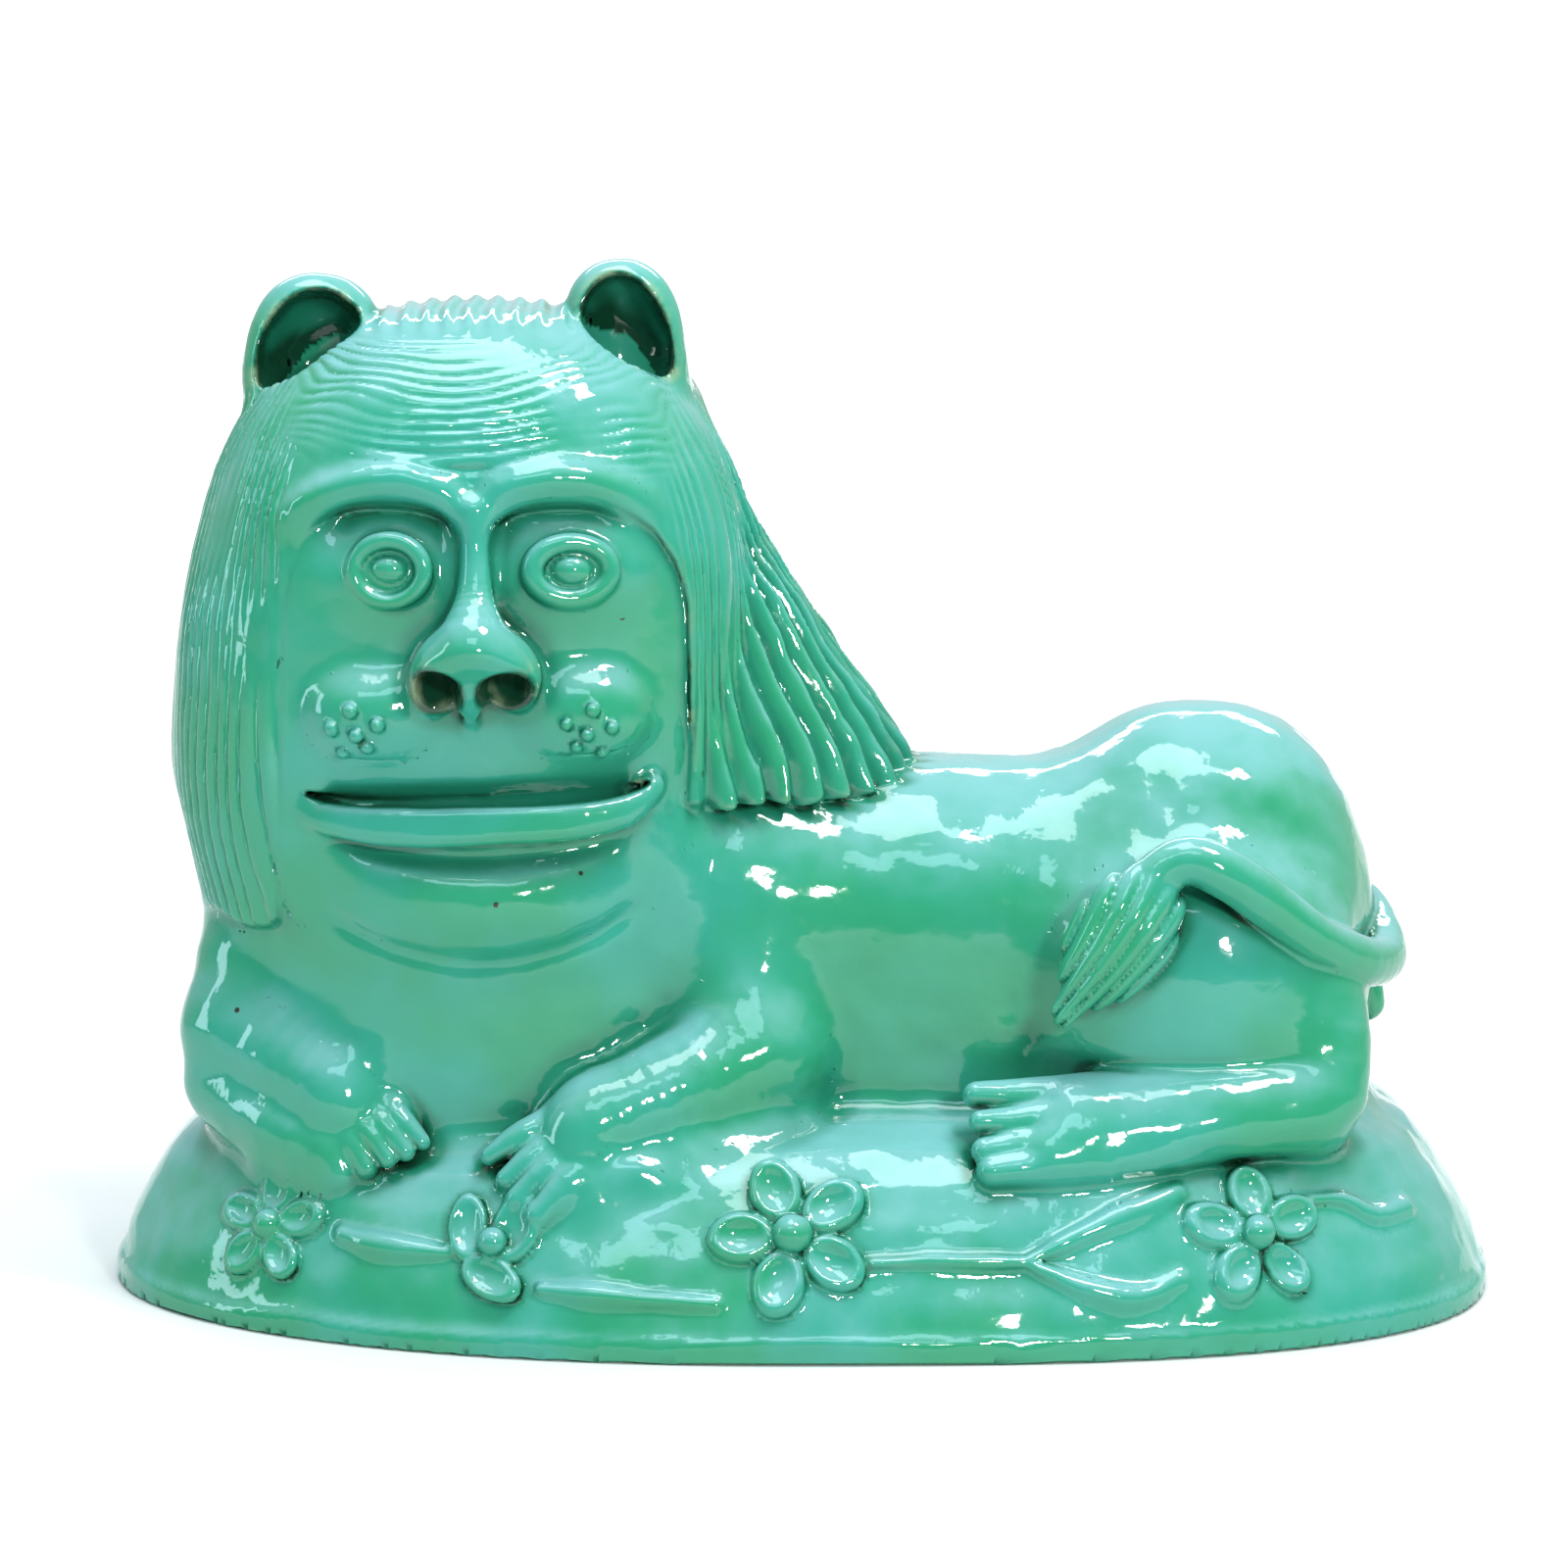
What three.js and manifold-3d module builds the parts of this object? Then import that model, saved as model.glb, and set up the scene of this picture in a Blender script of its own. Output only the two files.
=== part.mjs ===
// A glazed earthenware guardian lion lying on an oval mound, with its head and chest turned to the front.
// It is hand-built from hollow clay shells and applied pieces: each piece that the potter makes is one mesh.
// Millimetres, +Z up, +Y to the back, +X towards the tail. The origin is the centre of the foot, on the table.
// Left and right are the lion's own, so its left is the viewer's right at the head and the near side at the tail.
import * as THREE from "three";
import { mergeVertices } from "three/addons/utils/BufferGeometryUtils.js";
import Module from "manifold-3d";

const wasm = await Module();
wasm.setup();

// ---- Driving dimensions ----
const JOINT_GAP = 0.3; // slip line left between two pieces
const WALL = 9; // clay wall of the hollow shells
const MOUND_LENGTH = 352;
const MOUND_DEPTH = 194;
const MOUND_TOP = 49; // this and every other height is measured from the top of the foot ring
const FOOT = 2.5; // the unglazed foot ring that the mound stands on
const RIM_HEIGHT = 5.5;
const TAPER_LEFT = 2.05; // roundness of the outline: 2 is an ellipse, more is squarer
const TAPER_RIGHT = 2.5;
const FACE_X = -80; // the face's centre line
const HAUNCH_Y = 38; // half the distance between the two haunches
const COLOURS = {
  glaze: new THREE.Color(0.16, 0.58, 0.45),
  hair: new THREE.Color(0.15, 0.52, 0.42),
  relief: new THREE.Color(0.3, 0.68, 0.58),
};

// ---- Solids from three.js geometry ----
const v3 = (x, y, z) => new THREE.Vector3(x, y, z);

function solid(geometry) {
  const loose = geometry.index ? geometry.toNonIndexed() : geometry.clone();
  const bare = new THREE.BufferGeometry();
  bare.setAttribute("position", loose.getAttribute("position"));
  const merged = mergeVertices(bare, 1e-3);
  const corners = merged.index.array;
  const kept = [];
  for (let i = 0; i < corners.length; i += 3) {
    const [a, b, c] = [corners[i], corners[i + 1], corners[i + 2]];
    if (a !== b && b !== c && c !== a) kept.push(a, b, c);
  }
  const mesh = new wasm.Mesh({
    numProp: 3,
    vertProperties: merged.attributes.position.array,
    triVerts: new Uint32Array(kept),
  });
  return new wasm.Manifold(mesh);
}

const join = (...solids) => solids.reduce((all, next) => all.add(next));

// An ellipsoid of three radii, turned by Euler angles in degrees. Its corners fill out as power grows over 2.
function ellipsoid(centre, radii, { detail = 10, turn = [0, 0, 0], power = 2 } = {}) {
  const geometry = new THREE.SphereGeometry(1, detail, Math.round(detail * 0.6));
  const position = geometry.getAttribute("position");
  for (let i = 0; i < position.count; i++) {
    const place = v3().fromBufferAttribute(position, i);
    const size = place.toArray().reduce((sum, share) => sum + Math.abs(share) ** power, 0) ** (1 / power);
    position.setXYZ(i, ...place.divideScalar(size).toArray());
  }
  geometry.rotateX(Math.PI / 2).scale(...radii);
  const euler = new THREE.Euler(...turn.map(THREE.MathUtils.degToRad));
  geometry.applyQuaternion(new THREE.Quaternion().setFromEuler(euler));
  return solid(geometry.translate(...centre));
}

// A round bar along a smooth curve through stops [x, y, z, radius], with domed ends: a lathe bent to the curve.
function bar(stops, { sides = 8, rings = 2 } = {}) {
  const path = new THREE.CatmullRomCurve3(stops.map(([x, y, z]) => v3(x, y, z)), false, "centripetal");
  const spans = stops.length - 1;
  const stations = [];
  let normal = v3(0, 0.3, 1);
  const addStation = (t, beyond, share) => {
    const tangent = path.getTangent(t);
    normal = normal.clone().addScaledVector(tangent, -normal.dot(tangent)).normalize();
    const before = Math.min(Math.floor(t * spans), spans - 1);
    const radius = THREE.MathUtils.lerp(stops[before][3], stops[before + 1][3], t * spans - before);
    const centre = path.getPoint(t).addScaledVector(tangent, beyond * radius);
    stations.push({ centre, normal, across: normal.clone().cross(tangent), radius: share * radius });
  };
  addStation(0, -1, 0);
  addStation(0, -0.7, 0.7);
  for (let i = 0; i <= spans * rings; i++) addStation(i / (spans * rings), 0, 1);
  addStation(1, 0.7, 0.7);
  addStation(1, 1, 0);
  const geometry = new THREE.LatheGeometry(stations.map((_, i) => new THREE.Vector2(1, i)), sides);
  const position = geometry.getAttribute("position");
  for (let i = 0; i < position.count; i++) {
    const { centre, normal: up, across, radius } = stations[i % stations.length];
    const angle = ((Math.floor(i / stations.length) % sides) / sides) * 2 * Math.PI;
    const place = centre.clone();
    place.addScaledVector(up, radius * Math.sin(angle)).addScaledVector(across, radius * Math.cos(angle));
    position.setXYZ(i, ...place.toArray());
  }
  return solid(geometry);
}

function box(low, high) {
  const size = high.map((h, i) => h - low[i]);
  const geometry = new THREE.BoxGeometry(...size);
  return solid(geometry.translate(...low.map((l, i) => l + size[i] / 2)));
}

// An upright oval plug, used to cut a window from one hollow into the next.
function ovalPlug([x, y], [rx, ry], low, high) {
  const geometry = new THREE.CylinderGeometry(1, 1, high - low, 16).rotateX(Math.PI / 2);
  geometry.scale(rx, ry, 1);
  return solid(geometry.translate(x, y, (low + high) / 2));
}

// ---- The mound: an oval whose side steps in from the rim and rounds over to a flat top ----
// [distance in from the outline, height]
const MOUND_PROFILE = [
  [0, RIM_HEIGHT],
  [1.5, RIM_HEIGHT + 2],
  [7, 17.5],
  [13, 27],
  [20, 36],
  [29, 43],
  [46, MOUND_TOP - 1],
];

function ovalPoint(inset, angle) {
  const [c, s] = [Math.cos(angle), Math.sin(angle)];
  const power = 2 / (c < 0 ? TAPER_LEFT : TAPER_RIGHT);
  const x = (MOUND_LENGTH / 2 - inset) * Math.sign(c) * Math.abs(c) ** power;
  const y = (MOUND_DEPTH / 2 - inset) * Math.sign(s) * Math.abs(s) ** power;
  return [x, Math.abs(y) < 1e-6 ? 0 : y];
}

// A body of the mound's plan: a lathe of half the depth as radius, whose rings are then drawn out to ovals.
function ovalBody(rings, detail = 28) {
  const reach = MOUND_DEPTH / 2;
  const profile = rings.map(([inset, z]) => new THREE.Vector2(reach - inset, z));
  const geometry = new THREE.LatheGeometry(profile, detail, Math.PI / 2).rotateX(Math.PI / 2);
  const position = geometry.getAttribute("position");
  for (let i = 0; i < position.count; i++) {
    const [x, y] = [position.getX(i), position.getY(i)];
    const ring = rings[i % rings.length];
    const around = Math.floor(i / rings.length) % detail;
    const half = detail / 2;
    const mirrored = around > half ? -(detail - around) : around;
    const angle = (mirrored / half) * Math.PI;
    const drawn = ovalPoint(ring[0], angle);
    position.setXY(i, drawn[0], Math.hypot(x, y) < 1e-6 ? 0 : drawn[1]);
  }
  return solid(geometry);
}

function mound(grow) {
  const centre = MOUND_DEPTH / 2;
  const rings = [[centre, -FOOT - grow], [-grow, -FOOT - grow]];
  MOUND_PROFILE.forEach(([inset, z]) => rings.push([inset - grow, z + grow]));
  rings.push([centre, MOUND_TOP + grow]);
  return ovalBody(rings);
}

function moundHollow() {
  const centre = MOUND_DEPTH / 2;
  const rings = [[centre, -WALL], [WALL, -WALL], [WALL, RIM_HEIGHT]];
  MOUND_PROFILE.slice(2, -1).forEach(([inset, z]) => rings.push([inset + WALL * 0.8, z - WALL * 0.7]));
  rings.push([centre, MOUND_TOP - WALL]);
  return ovalBody(rings);
}

// A place on the mound's side, at x and height z, with axes u along the side, v up the slope and n outwards.
function slope(x, z, side) {
  const at = (px, pz) => {
    const above = MOUND_PROFILE.findIndex((ring) => ring[1] >= pz);
    const [low, high] = [MOUND_PROFILE[above - 1], MOUND_PROFILE[above]];
    const inset = low[0] + ((high[0] - low[0]) * (pz - low[1])) / (high[1] - low[1]);
    const power = px < 0 ? TAPER_LEFT : TAPER_RIGHT;
    const share = Math.abs(px) / (MOUND_LENGTH / 2 - inset);
    return v3(px, side * (MOUND_DEPTH / 2 - inset) * (1 - share ** power) ** (1 / power), pz);
  };
  const point = at(x, z);
  const u = at(x + 1, z).sub(at(x - 1, z)).normalize().multiplyScalar(-side);
  const v = at(x, z + 1).sub(at(x, z - 1)).normalize();
  const n = u.clone().cross(v).normalize();
  return { point, u, v: n.clone().cross(u), n };
}

// ---- Flowers: five rounded petals round a ball, lying on the mound's side ----
const PETALS = 5;
const STEPS_PER_PETAL = 6;
// [share of the flower's radius, share of the radius above the mound's surface]
const PETAL_PROFILE = [
  [0, -0.1],
  [1, -0.04],
  [0.72, 0.2],
  [0, 0.12],
];

function flower({ x, z, side, radius, spin = 0, squeeze = 1 }, grow) {
  const { point, u, v, n } = slope(x, z, side);
  const points = PETAL_PROFILE.map(([r, h]) => {
    return new THREE.Vector2(r ? radius * r + grow : 0, radius * h + (h > 0 ? grow : -grow));
  });
  const geometry = new THREE.LatheGeometry(points, PETALS * STEPS_PER_PETAL).rotateX(Math.PI / 2);
  const position = geometry.getAttribute("position");
  for (let i = 0; i < position.count; i++) {
    const step = Math.floor(i / points.length) % STEPS_PER_PETAL;
    const lobe = 0.55 + 0.45 * Math.sqrt(Math.abs(Math.cos((Math.PI * step) / STEPS_PER_PETAL)));
    position.setXY(i, position.getX(i) * lobe, position.getY(i) * lobe);
  }
  geometry.rotateZ(THREE.MathUtils.degToRad(spin)).scale(squeeze, 1, 1);
  return solid(geometry.applyMatrix4(new THREE.Matrix4().makeBasis(u, v, n).setPosition(point)));
}

function flowerCentre({ x, z, side, radius, squeeze = 1 }, grow) {
  const { point, n } = slope(x, z, side);
  const raised = point.addScaledVector(n, radius * 0.16);
  const ball = radius * 0.24 + grow;
  return ellipsoid(raised.toArray(), [ball * squeeze, ball, ball], { detail: 6 });
}

// A vine laid on the mound's side through places [x, z].
function vine(places, side, radius) {
  const route = places.map(([x, z]) => {
    const { point, n } = slope(x, z, side);
    return [...point.addScaledVector(n, radius * 0.3).toArray(), radius];
  });
  return bar(route, { sides: 6, rings: 1 });
}

const FLOWERS = {
  flower_1: { x: -130, z: 22, side: -1, radius: 15, spin: 20, squeeze: 0.85 },
  flower_2: { x: -74.5, z: 23, side: -1, radius: 16, spin: 50, squeeze: 0.8 },
  flower_3: { x: -2, z: 26, side: -1, radius: 20, spin: 38 },
  flower_4: { x: 111, z: 24, side: -1, radius: 17, spin: 95 },
  flower_5: { x: 88, z: 24, side: 1, radius: 18, spin: 12 },
  flower_6: { x: -64, z: 24, side: 1, radius: 18, spin: 60 },
};
const VINES = {
  vine_1: { side: -1, runs: [[[-112, 23], [-102, 20], [-88, 20]]] },
  vine_2: { side: -1, runs: [[[-62, 14], [-48, 13], [-34, 12.5], [-22, 11.5]]] },
  vine_3: {
    side: -1,
    runs: [
      [[18, 21], [30, 22], [44, 22], [58, 21]],
      [[56, 21.5], [66, 27], [76, 31], [88, 34]],
      [[56, 21], [70, 15], [82, 12], [92, 16]],
    ],
  },
  vine_4: { side: -1, runs: [[[127, 30], [134, 28], [142, 24], [149, 24]]] },
  vine_5: { side: 1, runs: [[[68, 22], [44, 17], [18, 25], [-14, 18], [-44, 22]]] },
};
const VINE_RADIUS = 2.1;

// ---- The lion's hollow shells ----
const FULLNESS = 2.3; // the body's shells are a little squarer than ellipsoids
const BARREL = { centre: [36, 0, 88], radii: [92, 45.5, 43.5], power: FULLNESS };
const RUMP = { centre: [101, 0, 95], radii: [45, 43.5, 50], power: FULLNESS };
const CHEST = { centre: [-82, -7, 86], radii: [64, 50, 58], power: FULLNESS };
const SKULL = { centre: [-82, -10, 178], radii: [58, 51, 62] };
const JAW = { centre: [-81, -10, 143], radii: [62, 52, 59] };
const TORSO_WINDOW = { at: [48, 0], radii: [42, 20] };
const CHEST_WINDOW = { at: [-82, 2], radii: [30, 22] };
const NECK_WINDOW = { at: [-81, -6], radii: [24, 18] };

const swell = ({ centre, radii, power }, by, options) =>
  ellipsoid(centre, radii.map((r) => r + by), { detail: 15, power, ...options });
const hollowOf = (shell) => swell(shell, -WALL, { detail: 10 });
const windowCut = ({ at, radii }, low, high, less = 0) =>
  ovalPlug(at, radii.map((r) => r - less), low, high);

const torso = (g) => join(swell(BARREL, g), swell(RUMP, g));
const torsoHollow = () =>
  join(hollowOf(BARREL), hollowOf(RUMP), windowCut(TORSO_WINDOW, MOUND_TOP - 5, MOUND_TOP + 30, 1));
const chest = (g) => swell(CHEST, g);
const chestHollow = () => join(hollowOf(CHEST), windowCut(CHEST_WINDOW, MOUND_TOP - 5, MOUND_TOP + 20, 1));
const head = (g) => join(swell(SKULL, g), swell(JAW, g));

// How far forward the head's front surface lies, at x and height z.
function faceY(x, z) {
  const fronts = [SKULL, JAW].map(({ centre: [cx, cy, cz], radii: [rx, ry, rz] }) => {
    const inside = 1 - ((x - cx) / rx) ** 2 - ((z - cz) / rz) ** 2;
    return inside > 0 ? cy - ry * Math.sqrt(inside) : cy;
  });
  return Math.min(...fronts);
}
const onFace = (x, z, out = 0) => [x, faceY(x, z) - out, z];

const MOUTH = { left: -38, right: -122, cornerZ: 136, middleZ: 131.5 };
const mouthSlot = () => {
  const { left, right, cornerZ, middleZ } = MOUTH;
  const stops = [right, right + 22, FACE_X, left - 22, left];
  const line = stops.map((x, i) => [...onFace(x, i % 4 ? middleZ : cornerZ), i % 4 ? 2.4 : 1.4]);
  return bar(line);
};
const headHollow = () =>
  join(hollowOf(SKULL), hollowOf(JAW), windowCut(NECK_WINDOW, JAW.centre[2] - 70, JAW.centre[2]), mouthSlot());

// ---- Limbs: shoulder, elbow and wrist, then a paw ----
const forelegRight = (g) =>
  bar([[-136, -14, 92, 19 + g], [-141, -26, 66, 16 + g], [-116, -48, 54, 13 + g]]);
const forepawRight = (g) => bar([[-116, -48, 53, 12.5 + g], [-96, -60, 42, 10 + g]]);
const forelegLeft = (g) =>
  bar([[-16, -28, 88, 23 + g], [-11, -44, 65, 17.5 + g], [-44, -60, 52, 13 + g]]);
const forepawLeft = (g) => bar([[-44, -60, 51, 12.5 + g], [-68, -66, 40, 9 + g]]);
const haunch = (side) => (g) =>
  ellipsoid([101, side * HAUNCH_Y, 82], [42 + g, 25 + g, 43 + g], { detail: 14 });
const hindFoot = (side) => (g) =>
  bar([[129, side * 49, 53, 13 + g], [90, side * 59, 50, 12 + g], [55, side * 65, 45, 11 + g]]);

// ---- Tail: it comes off the rump's end, crosses the haunch and ends in a tuft ----
const TAIL_RADIUS = 6.2;
const TAIL_ROUTE = [
  [136, 11, 98],
  [144, 2, 92],
  [147.5, -11, 87],
  [145.5, -28, 84],
  [139, -42, 87],
  [127.5, -54, 95],
  [115, -61, 105],
  [105, -63, 112],
  [95.5, -63, 115.5],
  [88, -63, 112.5],
  [84, -64, 106],
];
const tail = (g) => bar(TAIL_ROUTE.map((place) => [...place, TAIL_RADIUS + g]));
const tailTuft = (g) => bar([[83, -63, 103, 9 + g], [76, -63, 93, 10 + g], [69, -66, 84, 6 + g], [65, -67, 79, 3 + g]]);
const rumpNub = (g) => bar([[141, 8, 76, 5 + g], [146, 7, 69, 5 + g]]);

// ---- Hair: a hood of clay over the head, open at the face, in four slabs, with a cape down the back ----
const HOOD_CENTRE = [-84, -7];
const HOOD_FLATTEN = 0.78;
// [radius, height]
const HOOD_PROFILE = [
  [0, 96],
  [62, 96],
  [67, 114],
  [72, 138],
  [72, 168],
  [67, 200],
  [60, 216],
  [44, 236],
  [22, 246],
  [0, 249],
];
const CAPE_CENTRE = [-62, 0];
const CAPE_FLATTEN = 0.53;
const CAPE_PROFILE = [
  [0, 124],
  [92, 124],
  [92, 132],
  [56, 184],
  [44, 214],
  [20, 238],
  [0, 242],
];
const HAIRLINE = 45; // half the width of the bare face
const LOCK_BACK = 12; // where the side locks meet the cape
const FRINGE_Z = 214; // lower edge of the hair combed over the forehead
const CAPE_HEM = 124;

function draped(profile, [x, y], flatten, g) {
  const middle = (profile[0][1] + profile.at(-1)[1]) / 2;
  const points = profile.map(([r, z]) => new THREE.Vector2(r ? r + g : 0, z + (z > middle ? g : -g)));
  const geometry = new THREE.LatheGeometry(points, 16).rotateX(Math.PI / 2);
  return solid(geometry.scale(1, flatten, 1).translate(x, y, 0));
}
const hood = (g) => draped(HOOD_PROFILE, HOOD_CENTRE, HOOD_FLATTEN, g);
const maneRight = (g) =>
  hood(g).intersect(box([-200, -48 - g, 90], [FACE_X - HAIRLINE + g, LOCK_BACK + g, 226 + g]));
const maneLeft = (g) =>
  hood(g).intersect(box([FACE_X + HAIRLINE - g, -48 - g, CAPE_HEM - g], [60, LOCK_BACK + g, 226 + g]));
const maneCape = (g) =>
  join(
    draped(CAPE_PROFILE, CAPE_CENTRE, CAPE_FLATTEN, g),
    hood(g).intersect(box([-200, 0, CAPE_HEM - g], [100, 100, 300])),
  );
const crown = (g) =>
  hood(g).intersect(box([FACE_X - HAIRLINE - g, -100, FRINGE_Z - g], [FACE_X + HAIRLINE + g, 15 + g, 300]));

// ---- Head pieces ----
const EAR_WALL = 3.5;
function ear([x, y, z], radii, lean) {
  const [width, depth, height] = radii.map((r) => r - EAR_WALL);
  return (g) => {
    const turn = [0, lean, 0];
    const cup = ellipsoid([x, y, z], radii.map((r) => r + g), { turn });
    const dish = ellipsoid([x, y - 9, z + 0.5], [width - g, depth + 4 - g, height - g], { turn });
    return cup.subtract(dish);
  };
}
const EYES = { left: onFace(FACE_X + 24.5, 187.5), right: onFace(FACE_X - 21, 188) };
const eyelid = (centre) => (g) => {
  const geometry = new THREE.TorusGeometry(9.2, 2.6 + g, 6, 12).rotateX(Math.PI / 2);
  geometry.scale(1.12, 1.3, 0.9);
  return solid(geometry.translate(...centre));
};
const eyeball = ([x, y, z]) => (g) => ellipsoid([x, y + 1.5, z], [7.2 + g, 5 + g, 5.6 + g]);
const brow = (side) => (g) => {
  const stops = [[7, 199, 3.4], [24, 206, 4], [42, 199, 3]];
  const line = stops.map(([across, z, r]) => [...onFace(FACE_X + side * across, z), r + g]);
  return bar(line);
};
const nostril = (side) => ellipsoid([FACE_X + 1 + side * 7.4, -76.5, 164], [4.3, 7, 4.3]);
const nose = (g) => {
  const bridge = bar([[...onFace(FACE_X, 204), 5.5 + g], [...onFace(FACE_X + 1, 176, 3), 8 + g]]);
  const bulb = ellipsoid([FACE_X + 1, -67, 167], [16 + g, 12 + g, 11 + g]);
  const philtrum = bar([[...onFace(FACE_X + 1, 159, 1), 4.5 + g], [...onFace(FACE_X + 1, 148), 3 + g]], { sides: 6 });
  const whole = join(bridge, bulb, philtrum);
  return g ? whole : whole.subtract(nostril(-1)).subtract(nostril(1));
};
const MUZZLE = { across: 25, z: 152, radii: [22, 9, 14] };
const muzzle = (side) => (g) => {
  const centre = onFace(FACE_X + side * MUZZLE.across, MUZZLE.z, -3);
  return ellipsoid(centre, MUZZLE.radii.map((r) => r + g), { detail: 12 });
};
const lowerLip = (g) => {
  const stops = [[-42, 129.5, 3], [-22, 124.5, 4.8], [22, 124.5, 4.8], [43, 131, 3.4]];
  const line = stops.map(([across, z, r]) => [...onFace(FACE_X + across, z), r + g]);
  return bar(line);
};

// Clay pellets on the muzzle, as [distance from the face's centre line, height].
const WHISKERS = [
  [34, 149],
  [29.5, 153.5],
  [28, 147.5],
  [23, 150],
  [31.5, 143],
  [25.5, 144.5],
];
const PELLET = 2;
const whisker = (side, [across, z]) => (g) => {
  const { across: middle, z: middleZ, radii } = MUZZLE;
  const bulge = 1 - ((across - middle) / radii[0]) ** 2 - ((z - middleZ) / radii[2]) ** 2;
  const y = faceY(FACE_X + side * middle, middleZ) + 3 - radii[1] * Math.sqrt(bulge);
  return ellipsoid([FACE_X + side * across, y, z], [PELLET + g, PELLET + g, PELLET + g], { detail: 6 });
};

// ---- Every piece in building order: a later piece is shaped to sit on the earlier ones ----
const ground = new THREE.Group();
const body = new THREE.Group();
const bust = new THREE.Group();
const pieces = [];
const addPiece = (group, name, colour, shape, hollow = null) =>
  pieces.push({ group, name, colour, shape, hollow });

const moundWindows = () =>
  join(
    moundHollow(),
    windowCut(TORSO_WINDOW, MOUND_TOP - 20, MOUND_TOP + 5),
    windowCut(CHEST_WINDOW, MOUND_TOP - 20, MOUND_TOP + 5),
  );
addPiece(ground, "mound", "glaze", mound, moundWindows);
addPiece(bust, "head", "glaze", head, headHollow);
addPiece(body, "chest", "glaze", chest, chestHollow);
addPiece(body, "torso", "glaze", torso, torsoHollow);
addPiece(body, "haunch_left", "glaze", haunch(-1));
addPiece(body, "haunch_right", "glaze", haunch(1));
addPiece(body, "hind_foot_left", "glaze", hindFoot(-1));
addPiece(body, "hind_foot_right", "glaze", hindFoot(1));
addPiece(body, "foreleg_left", "glaze", forelegLeft);
addPiece(body, "foreleg_right", "glaze", forelegRight);
addPiece(body, "forepaw_left", "glaze", forepawLeft);
addPiece(body, "forepaw_right", "glaze", forepawRight);
addPiece(body, "tail", "glaze", tail);
addPiece(body, "tail_tuft", "hair", tailTuft);
addPiece(body, "rump_nub", "glaze", rumpNub);
addPiece(bust, "ear_left", "glaze", ear([-43.5, -12, 236.5], [15.5, 12.5, 22.5], 8));
addPiece(bust, "ear_right", "glaze", ear([-121.5, -12, 233], [17.5, 12.5, 22.5], -9));
addPiece(bust, "crown_hair", "hair", crown);
addPiece(bust, "mane_left", "hair", maneLeft);
addPiece(bust, "mane_right", "hair", maneRight);
addPiece(bust, "mane_cape", "hair", maneCape);
addPiece(bust, "brow_left", "glaze", brow(1));
addPiece(bust, "brow_right", "glaze", brow(-1));
addPiece(bust, "eyeball_left", "relief", eyeball(EYES.left));
addPiece(bust, "eyeball_right", "relief", eyeball(EYES.right));
addPiece(bust, "eyelid_ring_left", "relief", eyelid(EYES.left));
addPiece(bust, "eyelid_ring_right", "relief", eyelid(EYES.right));
addPiece(bust, "nose", "glaze", nose);
addPiece(bust, "muzzle_left", "glaze", muzzle(1));
addPiece(bust, "muzzle_right", "glaze", muzzle(-1));
addPiece(bust, "lower_lip", "relief", lowerLip);
WHISKERS.forEach((place, i) => {
  addPiece(bust, `whisker_left_${i + 1}`, "relief", whisker(1, place));
  addPiece(bust, `whisker_right_${i + 1}`, "relief", whisker(-1, place));
});
Object.entries(FLOWERS).forEach(([name, plan]) => {
  addPiece(ground, `${name}_centre`, "relief", (g) => flowerCentre(plan, g));
  addPiece(ground, name, "relief", (g) => flower(plan, g));
});
Object.entries(VINES).forEach(([name, { side, runs }]) => {
  const radiusRuns = (g) => runs.map((run) => vine(run, side, VINE_RADIUS + g));
  addPiece(ground, name, "relief", (g) => join(...radiusRuns(g)));
});

// ---- Cut each piece to its earlier neighbours, keep its main body, and name its mesh ----
function apart(a, b) {
  return [0, 1, 2].some((k) => a.min[k] > b.max[k] || b.min[k] > a.max[k]);
}

function meshOf(clay, name, colour) {
  const made = clay.getMesh();
  const geometry = new THREE.BufferGeometry();
  geometry.setAttribute("position", new THREE.BufferAttribute(new Float32Array(made.vertProperties), 3));
  geometry.setIndex(new THREE.BufferAttribute(new Uint32Array(made.triVerts), 1));
  geometry.computeVertexNormals();
  const material = new THREE.MeshStandardMaterial({ color: COLOURS[colour], roughness: 0.12, metalness: 0 });
  const mesh = new THREE.Mesh(geometry, material);
  mesh.name = name;
  return mesh;
}

const moulds = [];
for (const { group, name, colour, shape, hollow } of pieces) {
  let clay = shape(0);
  const bounds = clay.boundingBox();
  for (const mould of moulds) {
    if (!apart(bounds, mould.bounds)) clay = clay.subtract(mould.solid);
  }
  if (hollow) clay = clay.subtract(hollow());
  const parts = clay.decompose().sort((a, b) => b.volume() - a.volume());
  group.add(meshOf(parts[0], name, colour));
  const grown = shape(JOINT_GAP);
  moulds.push({ solid: grown, bounds: grown.boundingBox() });
}

const lion = new THREE.Group();
lion.add(ground, body, bust);
lion.position.z = FOOT;

export default lion;
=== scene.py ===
"""A glazed earthenware lion on a mound, sculpted as one smooth clay body and then parted into its pieces.

The clay is a distance field: shapes of clay are pressed together with soft joints, tooled, and hollowed.
One mesh is taken from it, and every face goes to the piece that owns the clay there, so that neighbouring
pieces meet exactly and the glaze runs over the joints. Sculpting is in millimetres, in the CAD's frame.
"""

import math
from concurrent.futures import ThreadPoolExecutor
from functools import partial

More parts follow.
